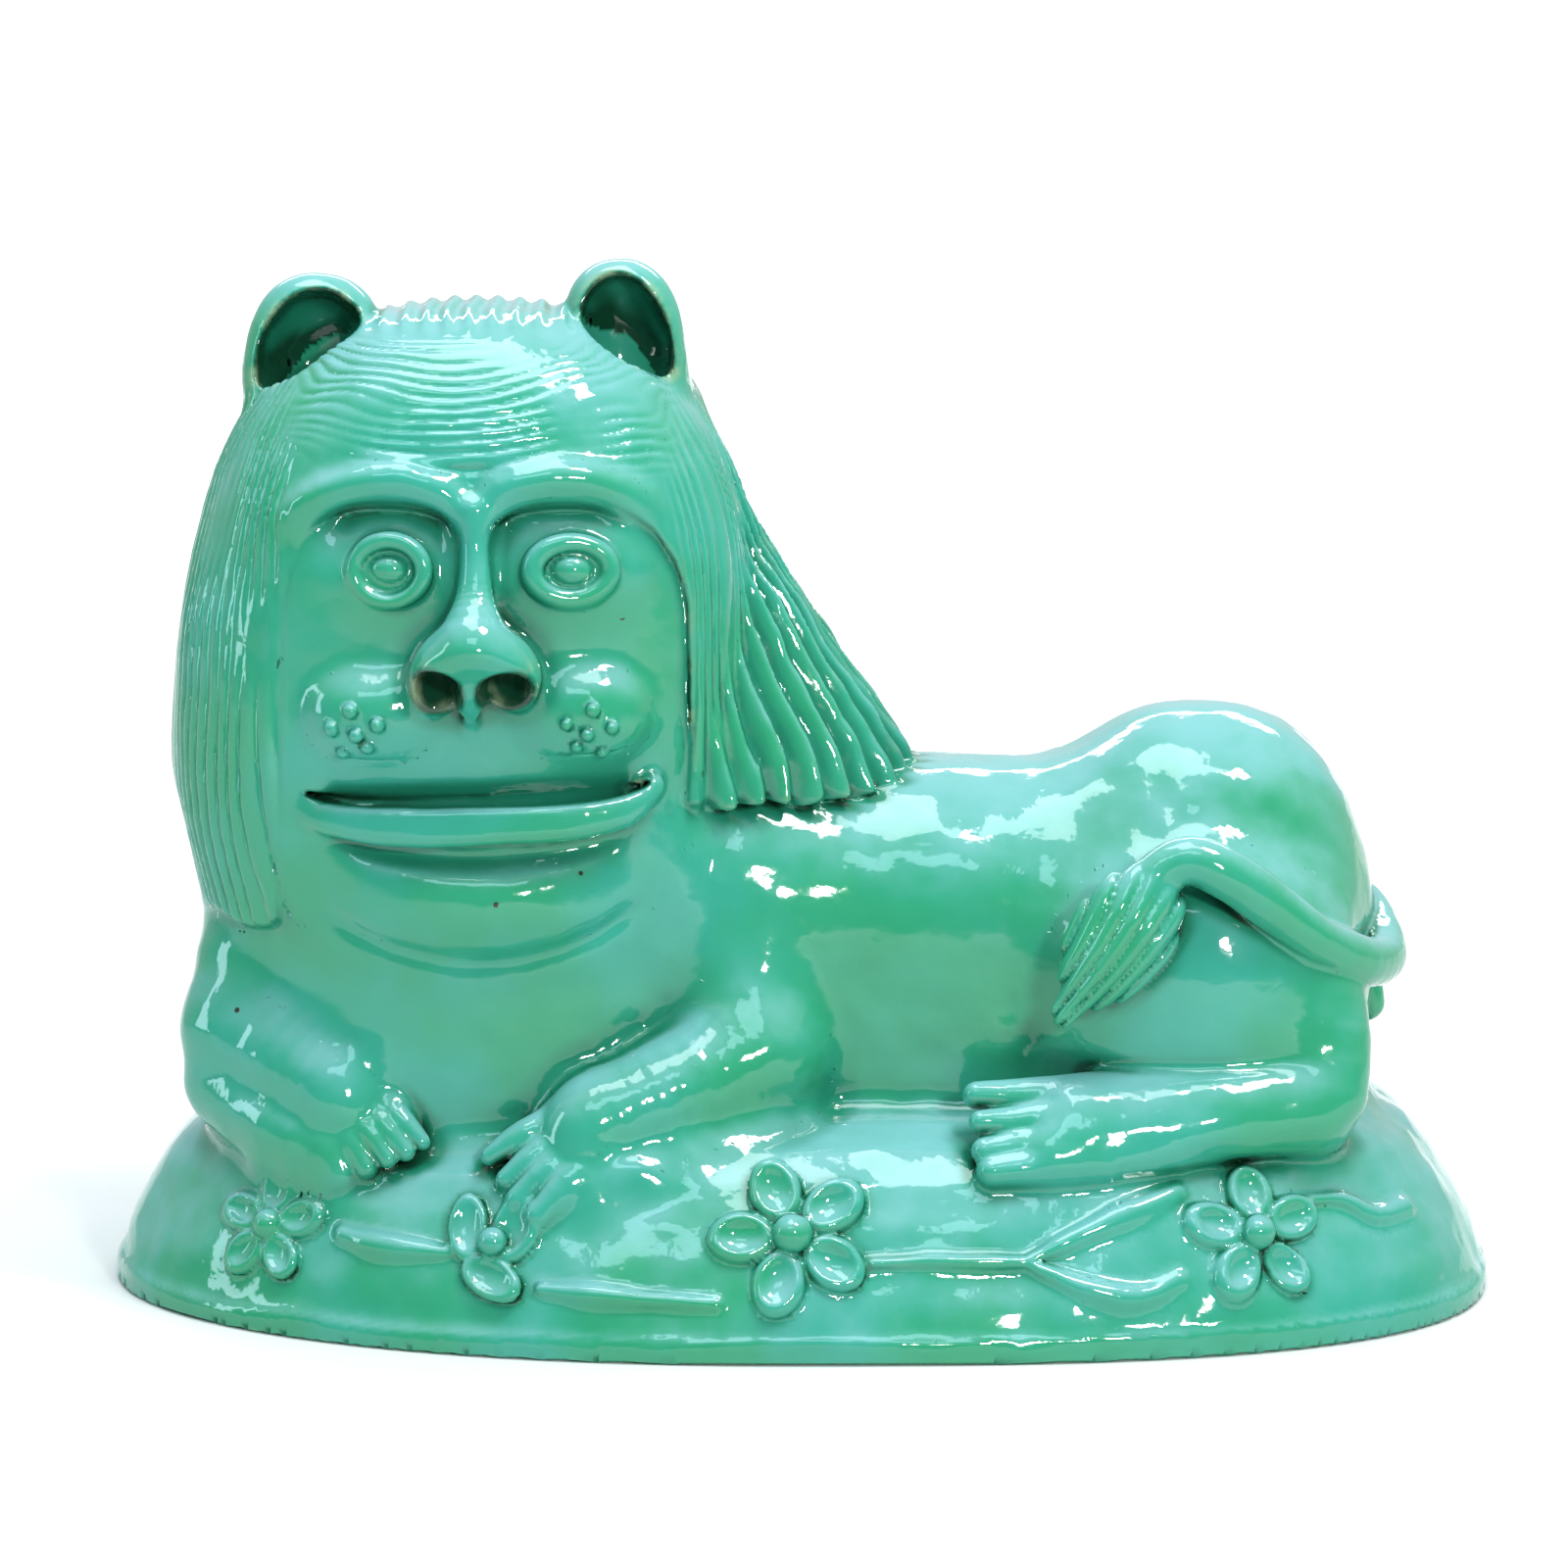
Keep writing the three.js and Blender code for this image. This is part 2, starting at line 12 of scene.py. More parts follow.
import bpy
import numpy as np
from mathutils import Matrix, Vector


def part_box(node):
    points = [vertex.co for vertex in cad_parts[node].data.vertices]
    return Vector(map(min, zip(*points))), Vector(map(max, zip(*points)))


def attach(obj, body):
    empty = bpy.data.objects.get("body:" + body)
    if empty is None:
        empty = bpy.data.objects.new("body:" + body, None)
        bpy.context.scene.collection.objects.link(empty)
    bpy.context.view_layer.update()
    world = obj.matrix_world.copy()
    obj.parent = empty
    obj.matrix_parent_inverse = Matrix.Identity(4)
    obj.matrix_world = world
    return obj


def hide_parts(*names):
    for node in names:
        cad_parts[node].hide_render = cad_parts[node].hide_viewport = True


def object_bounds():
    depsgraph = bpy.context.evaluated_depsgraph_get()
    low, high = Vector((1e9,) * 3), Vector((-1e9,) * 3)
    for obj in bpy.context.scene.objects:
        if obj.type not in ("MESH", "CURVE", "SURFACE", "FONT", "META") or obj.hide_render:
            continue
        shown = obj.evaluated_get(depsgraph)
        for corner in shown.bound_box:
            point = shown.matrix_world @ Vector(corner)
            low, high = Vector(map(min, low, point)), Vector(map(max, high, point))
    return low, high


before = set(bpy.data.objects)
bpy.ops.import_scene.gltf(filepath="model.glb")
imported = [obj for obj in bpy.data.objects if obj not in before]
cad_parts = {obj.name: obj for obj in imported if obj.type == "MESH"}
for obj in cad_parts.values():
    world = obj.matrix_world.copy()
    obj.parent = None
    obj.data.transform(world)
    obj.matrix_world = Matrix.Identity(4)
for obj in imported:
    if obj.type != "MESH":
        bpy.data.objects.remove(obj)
cad_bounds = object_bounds()

MM = 0.001
NODE_BOX = {name: np.array(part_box(name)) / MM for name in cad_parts}

# ---- Driving dimensions of the sculpture, in mm ----
VOXEL = 1.0
BLOCK = 4  # voxels along the side of a block that is looked at or left out as a whole
WALL = 9.0
FIRED_LUMPS = 0.6  # how far the hand-smoothed surface wanders
FINGER_DENTS = 0.2
BASE_LUMPS = 1.1  # the mound is rougher than the lion
LUMP_SIZE = 17.0
DENT_SIZE = 6.5
FAR = 1e3


def at(node, fx, fy, fz):
    """A place inside a CAD node's box, as shares of its size."""
    low, high = NODE_BOX[node]
    return low + (high - low) * np.array([fx, fy, fz])


def middle(node):
    return at(node, 0.5, 0.5, 0.5)


def beside(node, x, y, z):
    """A place at this offset from the middle of a CAD node's box."""
    return middle(node) + np.array([x, y, z], float)


# ---- Distance to simple shapes ----
def smooth_min(a, b, blend):
    if np.isscalar(blend) and blend <= 0:
        return np.minimum(a, b)
    h = np.clip(0.5 + 0.5 * (b - a) / blend, 0, 1)
    return b + (a - b) * h - blend * h * (1 - h)


def smooth_max(a, b, blend):
    return -smooth_min(-a, -b, blend)


def smoothstep(low, high, value):
    t = np.clip((value - low) / (high - low), 0, 1)
    return t * t * (3 - 2 * t)


def turned(points, centre, axes):
    """Points seen from centre, along the rows of axes."""
    return (points - centre) @ np.asarray(axes).T


def turn(about_x=0, about_y=0, about_z=0):
    """Rows of the axes of a frame turned by these degrees."""
    cx, sx = math.cos(math.radians(about_x)), math.sin(math.radians(about_x))
    cy, sy = math.cos(math.radians(about_y)), math.sin(math.radians(about_y))
    cz, sz = math.cos(math.radians(about_z)), math.sin(math.radians(about_z))
    rx = np.array([[1, 0, 0], [0, cx, -sx], [0, sx, cx]])
    ry = np.array([[cy, 0, sy], [0, 1, 0], [-sy, 0, cy]])
    rz = np.array([[cz, -sz, 0], [sz, cz, 0], [0, 0, 1]])
    return (rz @ ry @ rx).T


def ellipsoid(points, centre, radii, axes=None):
    local = points - centre if axes is None else turned(points, centre, axes)
    radii = np.asarray(radii, float)
    near = np.sqrt(((local / radii) ** 2).sum(1)) + 1e-9
    slope = np.sqrt(((local / radii**2) ** 2).sum(1)) + 1e-9
    return near * (near - 1) / slope


def plump(points, centre, radii, power=2.5, axes=None):
    """An ellipsoid with fuller corners as power grows over 2."""
    local = points - centre if axes is None else turned(points, centre, axes)
    radii = np.asarray(radii, float)
    shares = np.abs(local / radii) + 1e-6
    size = (shares**power).sum(1) ** (1 / power)
    slope = (shares / size[:, None]) ** (power - 1) / radii
    return (size - 1) / np.sqrt((slope**2).sum(1))


def soft_profile(places, values, softness):
    """A function through places and values whose corners are rounded off."""
    fine = np.arange(places[0] - 30, places[-1] + 30, 0.5)
    sharp = np.interp(fine, places, values)
    reach = np.arange(-3 * softness, 3 * softness + 0.5, 0.5)
    weight = np.exp(-0.5 * (reach / softness) ** 2)
    padded = np.pad(sharp, len(reach) // 2, mode="edge")
    rounded = np.convolve(padded, weight / weight.sum(), mode="valid")[: len(fine)]
    return lambda place: np.interp(place, fine, rounded)


def spline(stops, per_span=4):
    """A smooth line through stops, each [x, y, z, radius]."""
    stops = np.array(stops, float)
    padded = np.vstack([2 * stops[0] - stops[1], stops, 2 * stops[-1] - stops[-2]])
    line = []
    for i in range(1, len(padded) - 2):
        a, b, c, d = padded[i - 1 : i + 3]
        for step in range(per_span):
            t = step / per_span
            bend = (2 * a - 5 * b + 4 * c - d) * t**2 + (3 * b - a - 3 * c + d) * t**3
            line.append(0.5 * (2 * b + (c - a) * t + bend))
    line.append(stops[-1])
    return np.array(line)


def bar(points, stops, per_span=4):
    """A round bar along a smooth line through stops, with round ends."""
    line = spline(stops, per_span) if per_span > 1 else np.array(stops, float)
    nearest = np.full(len(points), FAR)
    for start, end in zip(line[:-1], line[1:]):
        along = end[:3] - start[:3]
        offset = points - start[:3]
        t = np.clip(offset @ along / max(along @ along, 1e-9), 0, 1)
        radius = start[3] + t * (end[3] - start[3])
        nearest = np.minimum(nearest, np.sqrt(((offset - t[:, None] * along) ** 2).sum(1)) - radius)
    return nearest


class Lumps:
    """Smooth noise from random values on a lattice that repeats every 32 cells."""

    SIDE = 32

    def __init__(self, seed):
        self.values = np.random.default_rng(seed).uniform(-1, 1, self.SIDE**3)

    def __call__(self, points, size):
        scaled = points / size
        base = np.floor(scaled).astype(np.int64)
        t = scaled - base
        t = t * t * (3 - 2 * t)
        total = np.zeros(len(points))
        for corner in range(8):
            bits = np.array([corner & 1, corner >> 1 & 1, corner >> 2 & 1])
            cell = (base + bits) % self.SIDE
            weight = np.abs(1 - bits - t).prod(1)
            total += weight * self.values[(cell[:, 0] * self.SIDE + cell[:, 1]) * self.SIDE + cell[:, 2]]
        return total


lumps = Lumps(11)
dents = Lumps(12)

# ---- The mound ----
HALF_LENGTH, HALF_DEPTH, MOUND_TOP = NODE_BOX["mound"][1]
# distance in from the outline, and height under the mound's top
SLOPE_IN = [0, 1.6, 2.4, 4, 8, 14, 21, 30, 43, 60]
SLOPE_DOWN = [45.8, 45.0, 42.0, 37.5, 29.5, 19.5, 11.0, 5.0, 1.2, 0]
mound_drop = soft_profile(SLOPE_IN, SLOPE_DOWN, 0.8)


def oval_inset(points):
    """How far in a place is from the mound's outline, an oval that is fuller at the tail's end."""
    x = np.abs(points[:, 0]) + 1e-6
    y = np.abs(points[:, 1]) + 1e-6
    power = 2.15 + 0.6 * smoothstep(-40, 60, points[:, 0])
    size = (x / HALF_LENGTH) ** power + (y / HALF_DEPTH) ** power
    out = size ** (1 / power)
    lead = size ** (1 / power - 1)
    slope_x = lead * x ** (power - 1) / HALF_LENGTH**power
    slope_y = lead * y ** (power - 1) / HALF_DEPTH**power
    return (1 - out) / np.hypot(slope_x, slope_y)


def mound_height(inset):
    return MOUND_TOP - mound_drop(inset)


def mound(points):
    inset = oval_inset(points)
    height = mound_height(inset)
    steepness = mound_height(inset + 0.5) - mound_height(inset - 0.5)
    top = (points[:, 2] - height) / np.sqrt(1 + steepness**2)
    side = smooth_max(top, -inset, 1.2)
    return np.maximum(side, -points[:, 2])


def mound_hollow(points):
    inset = oval_inset(points)
    ceiling = (points[:, 2] - mound_height(inset - 6) + WALL * 0.8) * 0.6
    return smooth_max(ceiling, WALL - inset, 4.0)


def slope_frame(x, z, side):
    """Where the mound's side has height z at x, with axes along the side, up the slope and out of it."""

    def place(px, pz):
        low, high = 0.0, HALF_DEPTH
        for _ in range(40):
            y = (low + high) / 2
            height = mound_height(oval_inset(np.array([[px, side * y, 0.0]])))[0]
            low, high = (y, high) if height > pz else (low, y)
        return np.array([px, side * low, pz])

    point = place(x, z)
    along = place(x + 1, z) - place(x - 1, z)
    along *= -side / np.linalg.norm(along)
    up = place(x, z + 1) - place(x, z - 1)
    out = np.cross(along, up)
    out /= np.linalg.norm(out)
    return point, np.array([along, np.cross(out, along), out])


# ---- Body shells ----
def upright_below(points, level, share):
    """Points drawn up towards a level, so that the shape's sides under it go down more steeply."""
    drawn = points.copy()
    drawn[:, 2] = np.where(points[:, 2] < level, level + (points[:, 2] - level) * share, points[:, 2])
    return drawn


def torso(points):
    local = points - middle("torso")
    shoulders = plump(local, [-76.5, 0, -3.2], (44, 48, 46), 2.2)
    barrel = plump(upright_below(local, -11.2, 0.4), [-18.5, 0, -9.2], (92, 45.5, 43.5), 2.3)
    rump = plump(local, [47.8, 0, -1.7], (42, 43.5, 50), 2.25)
    hips = plump(upright_below(local, -21.2, 0.5), [52.5, 0, -21.2], (38, 42, 44), 2.6)
    body = smooth_min(smooth_min(shoulders, barrel, 12), rump, 16)
    return smooth_min(body, hips, 10)


def chest(points):
    local = upright_below(points - middle("chest"), 0.4, 0.45)
    return plump(local, [0.4, 0, 2.4], (64, 51, 58), 2.2)


HEAD_CENTRE = beside("head", -2.3, 3, 4.1)
HEAD_RADII = (71.5, 56.0)
HEAD_RISE = 80.5
# against height over its centre, the head's shift sideways and its width as a share of a plain dome's
HEAD_LEVELS = [-74, -60, -40, -20, 0, 20, 30, 40, 50, 60, 70, 80]
HEAD_SHIFTS = [-1.2, -1.2, -2.0, -1.3, 0, 1.3, 1.6, 1.8, 1.7, 2.0, 2.3, 2.5]
HEAD_WIDTHS = [1.02, 1.016, 1.022, 1.021, 1.007, 0.979, 0.970, 0.963, 0.948, 0.950, 0.970, 1.0]
head_shift = soft_profile(HEAD_LEVELS, HEAD_SHIFTS, 4)
head_width = soft_profile(HEAD_LEVELS, HEAD_WIDTHS, 4)
HEAD_FALL = 130.0
HEAD_POWER = 2.5


def dome(points, extra=0.0):
    """The head's outer shape with its hair: a rounded column under a dome."""
    local = points - HEAD_CENTRE
    local[:, 0] = (local[:, 0] - head_shift(local[:, 2])) / head_width(local[:, 2])
    height = np.where(local[:, 2] > 0, HEAD_RISE, HEAD_FALL) + extra
    wide, deep = (np.full(len(points), radius + extra) for radius in HEAD_RADII)
    return plump(local, 0, np.column_stack([wide, deep, height]), HEAD_POWER)


FACE_Y = NODE_BOX["head"][0][1]
HOOD_LOW = NODE_BOX["mane_right"][0][2] - 1.2


def head_form(points):
    """The head with its hair, before it is combed: the dome with a flatter face."""
    return smooth_max(dome(points), FACE_Y - points[:, 1], 10)


def head(points):
    low = smooth_max(head_form(points) + hair_depth(points), HOOD_LOW - 2 - points[:, 2], 22)
    chin = plump(points, beside("head", 1.7, -14, -58.9), (43, 40, 18), 2.2)
    return smooth_min(low, chin, 7)


def hair_depth(points):
    """How far the hair stands proud of the face: most down the lion's left cheek."""
    local = points - HEAD_CENTRE
    left = smoothstep(22, 44, local[:, 0]) * smoothstep(52, 25, local[:, 2])
    return 0.15 + 1.6 * left + 2.2 * smoothstep(0, 4, face_opening(points))


# ---- Limbs ----
# stops along each foreleg's upper arm, forearm and underside, and how softly these join
# a stop is an offset from the middle of the node's box, and a radius
FORELEGS = {
    "foreleg_left": (
        [[9.2, 33, 30.1, 15], [11.7, 17, 8.1, 16.5], [12.7, 8, -11.9, 16.5]],
        [[13.2, 6, -12.9, 17], [-5.8, -5, -19.9, 14.5], [-25.8, -13, -24.9, 11.5]],
        [[17.2, 3, -27.9, 12], [-4.8, -11, -35.9, 11], [-26.8, -19, -40.9, 9.5]],
        (8, 5),
    ),
    "foreleg_right": (
        [[-1.9, 19.9, 21.8, 14], [-8.9, 7.9, 5.8, 14], [-9.9, 1.9, -8.2, 14]],
        [[-9.9, 1.9, -9.2, 14.5], [2.1, -11.1, -14.2, 13], [14.1, -20.1, -20.2, 11]],
        [[-12.9, -0.1, -22.2, 12], [1.1, -16.1, -30.2, 11], [13.1, -24.1, -34.2, 8.5]],
        (6, 4),
    ),
}


def foreleg(points, node):
    local = points - middle(node)
    upper, fore, heel, (elbow_blend, heel_blend) = FORELEGS[node]
    arm = smooth_min(bar(local, upper, 2), bar(local, fore), elbow_blend)
    return smooth_min(arm, bar(local, heel, 2), heel_blend)


def paw(points, heel, tips, palm_radius, toe_radius):
    """A broad palm at heel with a close row of nearly parallel toes, one to each tip."""
    heel, tips = np.asarray(heel, float), np.asarray(tips, float)
    fan = np.mean(tips, 0)
    palm = [[*heel, palm_radius], [*(heel + (fan - heel) * 0.25), palm_radius * 0.9]]
    result = bar(points, [*palm, [*(heel + (fan - heel) * 0.6 + [0, 2, -2]), palm_radius * 0.6]], 1)
    for tip in tips:
        knuckle = heel + (fan - heel) * 0.3 + (tip - fan) * 0.7
        joints = [knuckle, (knuckle + tip) / 2 + [0, -1.4, 1.4], tip]
        stops = [[*joint, toe_radius * share] for joint, share in zip(joints, (1.35, 1.1, 0.85))]
        result = smooth_min(result, bar(points, stops, 3), 1.2)
    return result


# offsets from the middle of each forepaw's box to the palm's heel and the toes' tips; then both radii
FOREPAWS = {
    "forepaw_left": (
        [9.3, 2, 2.8],
        [[-19.2, -5, -4.2], [-15.2, -9, -8.7], [-12.2, -12.5, -12.7], [-7.2, -16, -16.2]],
        (12.5, 3.5),
    ),
    "forepaw_right": (
        [-11.8, 6.4, 7.7],
        [[-8.3, -6.1, -10.8], [-1.8, -8.1, -8.8], [3.4, -8.6, -6.8], [7.9, -8.1, -5.3], [12, -6.6, -3.3]],
        (11.5, 3.0),
    ),
}


def forepaw(points, node):
    heel, tips, radii = FOREPAWS[node]
    return paw(points - middle(node), heel, tips, *radii)


def outward(points, node):
    """Points from the middle of a node's box, with y growing away from the lion's middle."""
    return (points - middle(node)) * [1, np.sign(middle(node)[1]), 1]


def haunch(points, node):
    local = outward(points, node)
    thigh = plump(local, [-3, -3.4, -6.1], (39, 24.6, 36), 2.2)
    shank = bar(local, [[27, 0, -3.1, 9], [29, 7, -17.1, 10.5], [28, 12, -29.1, 11]], 2)
    return smooth_min(thigh, shank, 9)


def hind_foot(points, node):
    local = outward(points, node)
    top = bar(local, [[33, -1.3, 2.7, 10.5], [3, 2.7, 1.7, 10.5], [-25, 6.7, 0.2, 10]], 2)
    sole = bar(local, [[33, 0.7, 0.2, 9.5], [-1, 8.7, -3.8, 9], [-31, 13.7, -6.8, 8.5]], 2)
    result = smooth_min(top, sole, 6)
    starts = [[-15, 3.7, 4.2], [-18, 8.7, 0.2], [-20, 11.7, -4.3], [-20, 13.7, -8.3]]
    tips = [[-49.4, 7.2, 5.7], [-48.4, 12.7, 0.2], [-47.4, 16.7, -5.3], [-45.9, 19.7, -10.3]]
    for start, tip in zip(starts, tips):
        half_way = (np.array(start) + tip) / 2
        result = smooth_min(result, bar(local, [[*start, 6.6], [*half_way, 5.2], [*tip, 3.6]], 2), 1.5)
    return result


# ---- Tail ----
TAIL_RADIUS = 6.6
TAIL_TAPER = 0.06  # from one stop to the next
TUFT_STRAND = 4.6
# offsets from the middle of the tail's box
TAIL_STOPS = [
    [18.2, 41.8, -1.3],
    [28.2, 32.8, -8.3],
    [30.9, 18.8, -13.3],
    [30, 1.8, -15.8],
    [22.7, -12.2, -12.8],
    [10.6, -24.2, -4.7],
    [-1.8, -30.2, 5.7],
    [-10.8, -31.7, 12.2],
    [-20.2, -31.2, 15.7],
    [-28.3, -31.7, 12.2],
    [-33.3, -34.2, 2.7],
]


def tail(points):
    stops = [[*place, TAIL_RADIUS - TAIL_TAPER * i] for i, place in enumerate(TAIL_STOPS)]
    return bar(points - middle("tail"), stops)


def tail_tuft(points):
    root = beside("tail_tuft", 12.2, 1.2, 18.3)
    tip = beside("tail_tuft", -12.3, -4.3, -14.7)
    along = (tip - root) / np.linalg.norm(tip - root)
    out = np.array([0.1, -1.0, 0.15])
    out -= along * (out @ along)
    out /= np.linalg.norm(out)
    axes = np.array([np.cross(along, out), out, along])
    local = turned(points, root, axes)
    place = local[:, 2] / np.linalg.norm(tip - root)
    leaf = ellipsoid(points, root + (tip - root) * 0.42, (12.6, 8.0, 19.5), axes)
    point = bar(points, [[*(root + (tip - root) * 0.35), 8.0], [*tip, 2.6]], 1)
    body = smooth_min(leaf, point, 3)
    across = local[:, 0] / (1.15 - 0.55 * np.clip(place, 0, 1.1)) + 2.0 * np.sin(place * 2.2)
    return body + 0.65 * ribs(across, TUFT_STRAND) * smoothstep(-0.25, 0.05, place)


def rump_nub(points):
    stops = [[-4.2, -0.5, 7.6, 4.8], [-0.9, -0.5, 2.6, 4.6], [0.6, -0.5, -6.4, 4.6]]
    return bar(points - middle("rump_nub"), stops, 2)


# ---- Hair ----
def ribs(length, spacing):
    """1 in the narrow grooves and -1 on the round ridges of a repeated ridge."""
    return 1 - 2 * np.abs(np.sin(length * math.pi / spacing))


def arc_lengths(radii, power):
    """The length along an upright oval's outline, from its front, against the angle."""
    angle = np.linspace(-math.pi, math.pi, 1441)
    x, y = np.sin(angle), -np.cos(angle)
    size = (np.abs(x) ** power + np.abs(y) ** power) ** (1 / power)
    x, y = x / size * radii[0], y / size * radii[1]
    length = np.concatenate([[0], np.cumsum(np.hypot(np.diff(x), np.diff(y)))])
    return angle, length - length[len(length) // 2]


HOOD_ARC = arc_lengths(HEAD_RADII, HEAD_POWER)
CAPE_RADII = np.array([91.0, 48.0])
CAPE_AXIS = middle("mane_cape")[:2] - [0, 1.1]
CAPE_POWER = 2.3
CAPE_ARC = arc_lengths(CAPE_RADII, CAPE_POWER)
STRAND = 3.9
COMB_ROW = 3.1
CROWN_RIDGE = 5.5
FOLD = 8.0


def unrolled(points, centre, radii, arc):
    """Length round an upright oval from its front, in mm at its widest."""
    angle = np.arctan2((points[:, 0] - centre[0]) / radii[0], -(points[:, 1] - centre[1]) / radii[1])
    return np.interp(angle, *arc)


def strands(points):
    """Depth of the combing: rows over the forehead, ridges on the crown, strands down the sides."""
    local = points - HEAD_CENTRE
    x, y, z = local.T
    round_head = unrolled(points, HEAD_CENTRE, HEAD_RADII, HOOD_ARC)
    height = np.where(z > 0, 75 * np.arctan2(z, np.hypot(x, y) * 1.25), z)
    stretched = local * [1, 1, 0.22]
    sides = ribs(round_head + 3.6 * lumps(stretched, 11), STRAND)
    bent = local * [0.2, 1, 1]
    rows = ribs(height + 0.03 * np.abs(x - 4) + 3.0 * lumps(bent, 8), COMB_ROW)
    crown = np.cos(x * 2 * math.pi / CROWN_RIDGE + 1.2 * lumps(local, 14))
    on_crown = smoothstep(73, 80, z)
    off_middle = np.abs(x - 6)
    on_rows = smoothstep(50, 38, off_middle) * smoothstep(7, -7, y) * smoothstep(39, 46, z)
    on_rows = on_rows * (1 - smoothstep(70, 76, z))
    on_sides = (smoothstep(44, 54, off_middle) + smoothstep(7, 21, y)) * (1 - on_crown)
    patchy = np.clip(0.55 + 0.9 * lumps(local * [1, 1, 0.5], 15), 0.05, 1.3)
    forehead = 0.3 * on_rows * rows
    cheeks = 0.55 * np.minimum(on_sides, 1) * sides
    return 0.7 * on_crown * crown + (forehead + cheeks) * patchy


FACE_MIDDLE = beside("head", 5.2, 3, -15.9)[[0, 2]]
FACE_HALF = np.array([48.5, 62.0])
FACE_ROUND = 36.0


def face_opening(points):
    """Distance into the bare face, seen from the front as an upright panel with a round top."""
    x = points[:, 0] - FACE_MIDDLE[0]
    z = points[:, 2] - FACE_MIDDLE[1]
    wider = 1.0 + 0.05 * smoothstep(40, -40, z)
    corner = FACE_HALF - FACE_ROUND
    offset = np.stack([np.abs(x) / wider - corner[0], z - corner[1]], 1)
    outside = np.hypot(*np.maximum(offset, 0).T)
    inside = np.minimum(offset.max(1), 0)
    return np.maximum(outside + inside - FACE_ROUND, points[:, 1] - HEAD_CENTRE[1] + 5)


def hair(points):
    combed = head_form(points) + strands(points)
    hem = HOOD_LOW + 4 * lumps(points * [1, 1, 0], 16) - points[:, 2]
    combed = smooth_max(combed, hem, 3.0)
    softness = 1.6 + 3.0 * smoothstep(24, 4, points[:, 0] - HEAD_CENTRE[0])
    combed = smooth_max(combed, -face_opening(points), softness)
    return smooth_min(combed, cape(points), 2.5)


CAPE_HEM = NODE_BOX["mane_cape"][0][2]
CAPE_TOP = NODE_BOX["mane_cape"][1][2]
# the cape's size at heights over its hem, as shares of its size at the hem
CAPE_LEVELS = [-8, 2, 7, 13, 23, 33, 43, 53, 63, 73, 84, 94, 104]
CAPE_SIZES = [1, 0.995, 0.975, 0.945, 0.873, 0.785, 0.713, 0.65, 0.575, 0.525, 0.48, 0.425, 0.41]
cape_size = soft_profile(CAPE_LEVELS, CAPE_SIZES, 3)


def cape(points):
    z = points[:, 2] - CAPE_HEM
    size = cape_size(z)
    deep = 0.35 + 0.65 * size
    x = (points[:, 0] - CAPE_AXIS[0]) / (CAPE_RADII[0] * size)
    y = (points[:, 1] - CAPE_AXIS[1]) / (CAPE_RADII[1] * deep)
    out = (np.abs(x) ** CAPE_POWER + np.abs(y) ** CAPE_POWER) ** (1 / CAPE_POWER)
    length = unrolled(points, CAPE_AXIS, CAPE_RADII, CAPE_ARC) + 1.4 * lumps(points * [1, 1, 0.35], 14)
    folds = np.cos(length * 2 * math.pi / FOLD) * smoothstep(105, 73, z)
    knobs = 0.45 * lumps(points * [1, 1, 0.7], 6.5)
    side = (out - 1) * CAPE_RADII[1] * deep * 0.85 + 0.9 * folds + knobs
    hem = 1.5 + 1.6 * np.maximum(folds, 0) + 1.2 * lumps(points * [1, 1, 0], 9) - z
    top = points[:, 2] - CAPE_TOP + 5.5
    return smooth_max(smooth_max(side, hem, 1.8), top, 20)


def hair_piece(points):
    """Which slab of hair a place belongs to."""
    x, y, z = (points - HEAD_CENTRE).T
    behind = y > 19
    crown = (z > 48) & (np.abs(x - 4) < 46)
    left = x > 6
    names = np.where(left, PIECE["mane_left"], PIECE["mane_right"])
    names = np.where(behind | ((cape(points) < head_form(points)) & left), PIECE["mane_cape"], names)
    return np.where(crown & ~behind, PIECE["crown_hair"], names)


# ---- Ears ----
# each ear's offset from the middle of its box, its half sizes and its lean
EARS = {
    "ear_left": ([0, -2, -1.8], (15.3, 13, 23.2), -8),
    "ear_right": ([0.3, -2.1, -1.9], (17.6, 13, 22.6), 9),
}


def ear_frame(points, node):
    offset, _, lean = EARS[node]
    return turned(points, beside(node, *offset), turn(about_y=lean, about_x=-6))


def ear_dish(local, node):
    wide, deep, tall = EARS[node][1]
    return ellipsoid(local, [0, -9.5, -0.5], (wide - 3.6, deep + 5, tall - 3.4))


def ear(points, node):
    """A scoop of clay, open to the front."""
    local = ear_frame(points, node)
    cup = plump(local, 0, EARS[node][1], 2.3)
    return smooth_max(cup, -ear_dish(local, node), 1.8)


EAR_FLOOR = 6.0  # clay left between the ears' cups and the inside of the head


def ear_cups(points):
    """The inside of the ears, cut into the head as well."""
    result = np.full(len(points), FAR)
    for node, (_, (wide, deep, tall), _) in EARS.items():
        inside = ellipsoid(ear_frame(points, node), [0, -5.5, 1.5], (wide - 4.2, deep, tall - 6.5))
        result = np.minimum(result, inside)
    return result


# ---- Face ----
def on_face(points):
    return points[:, 1] < HEAD_CENTRE[1] - 13


def pressed_in(points, depth, reach):
    """A hollow in the front of the head that fades out as reach falls from 1 to 0."""
    hollow = 4.0 - (depth + 4.0) * reach - head_form(points)
    return np.where((reach > 0) & on_face(points), hollow, FAR)


# each eye's offset from the middle of its ring's box, across and up, and the ring's half sizes
EYES = {"left": ((-1.2, -0.4), (11.4, 8.8)), "right": ((1.2, -0.9), (10.5, 9.4))}
FACE_LINE = middle("nose")[0] - 0.3


def eye_place(side):
    across, up = EYES[side][0]
    x, _, z = middle("eyelid_ring_" + side) + [across, 0, up]
    return np.array([x, FACE_Y + 3.5 + 0.002 * (x - FACE_LINE) ** 2, z])


SOCKET_DEPTH = 6.0
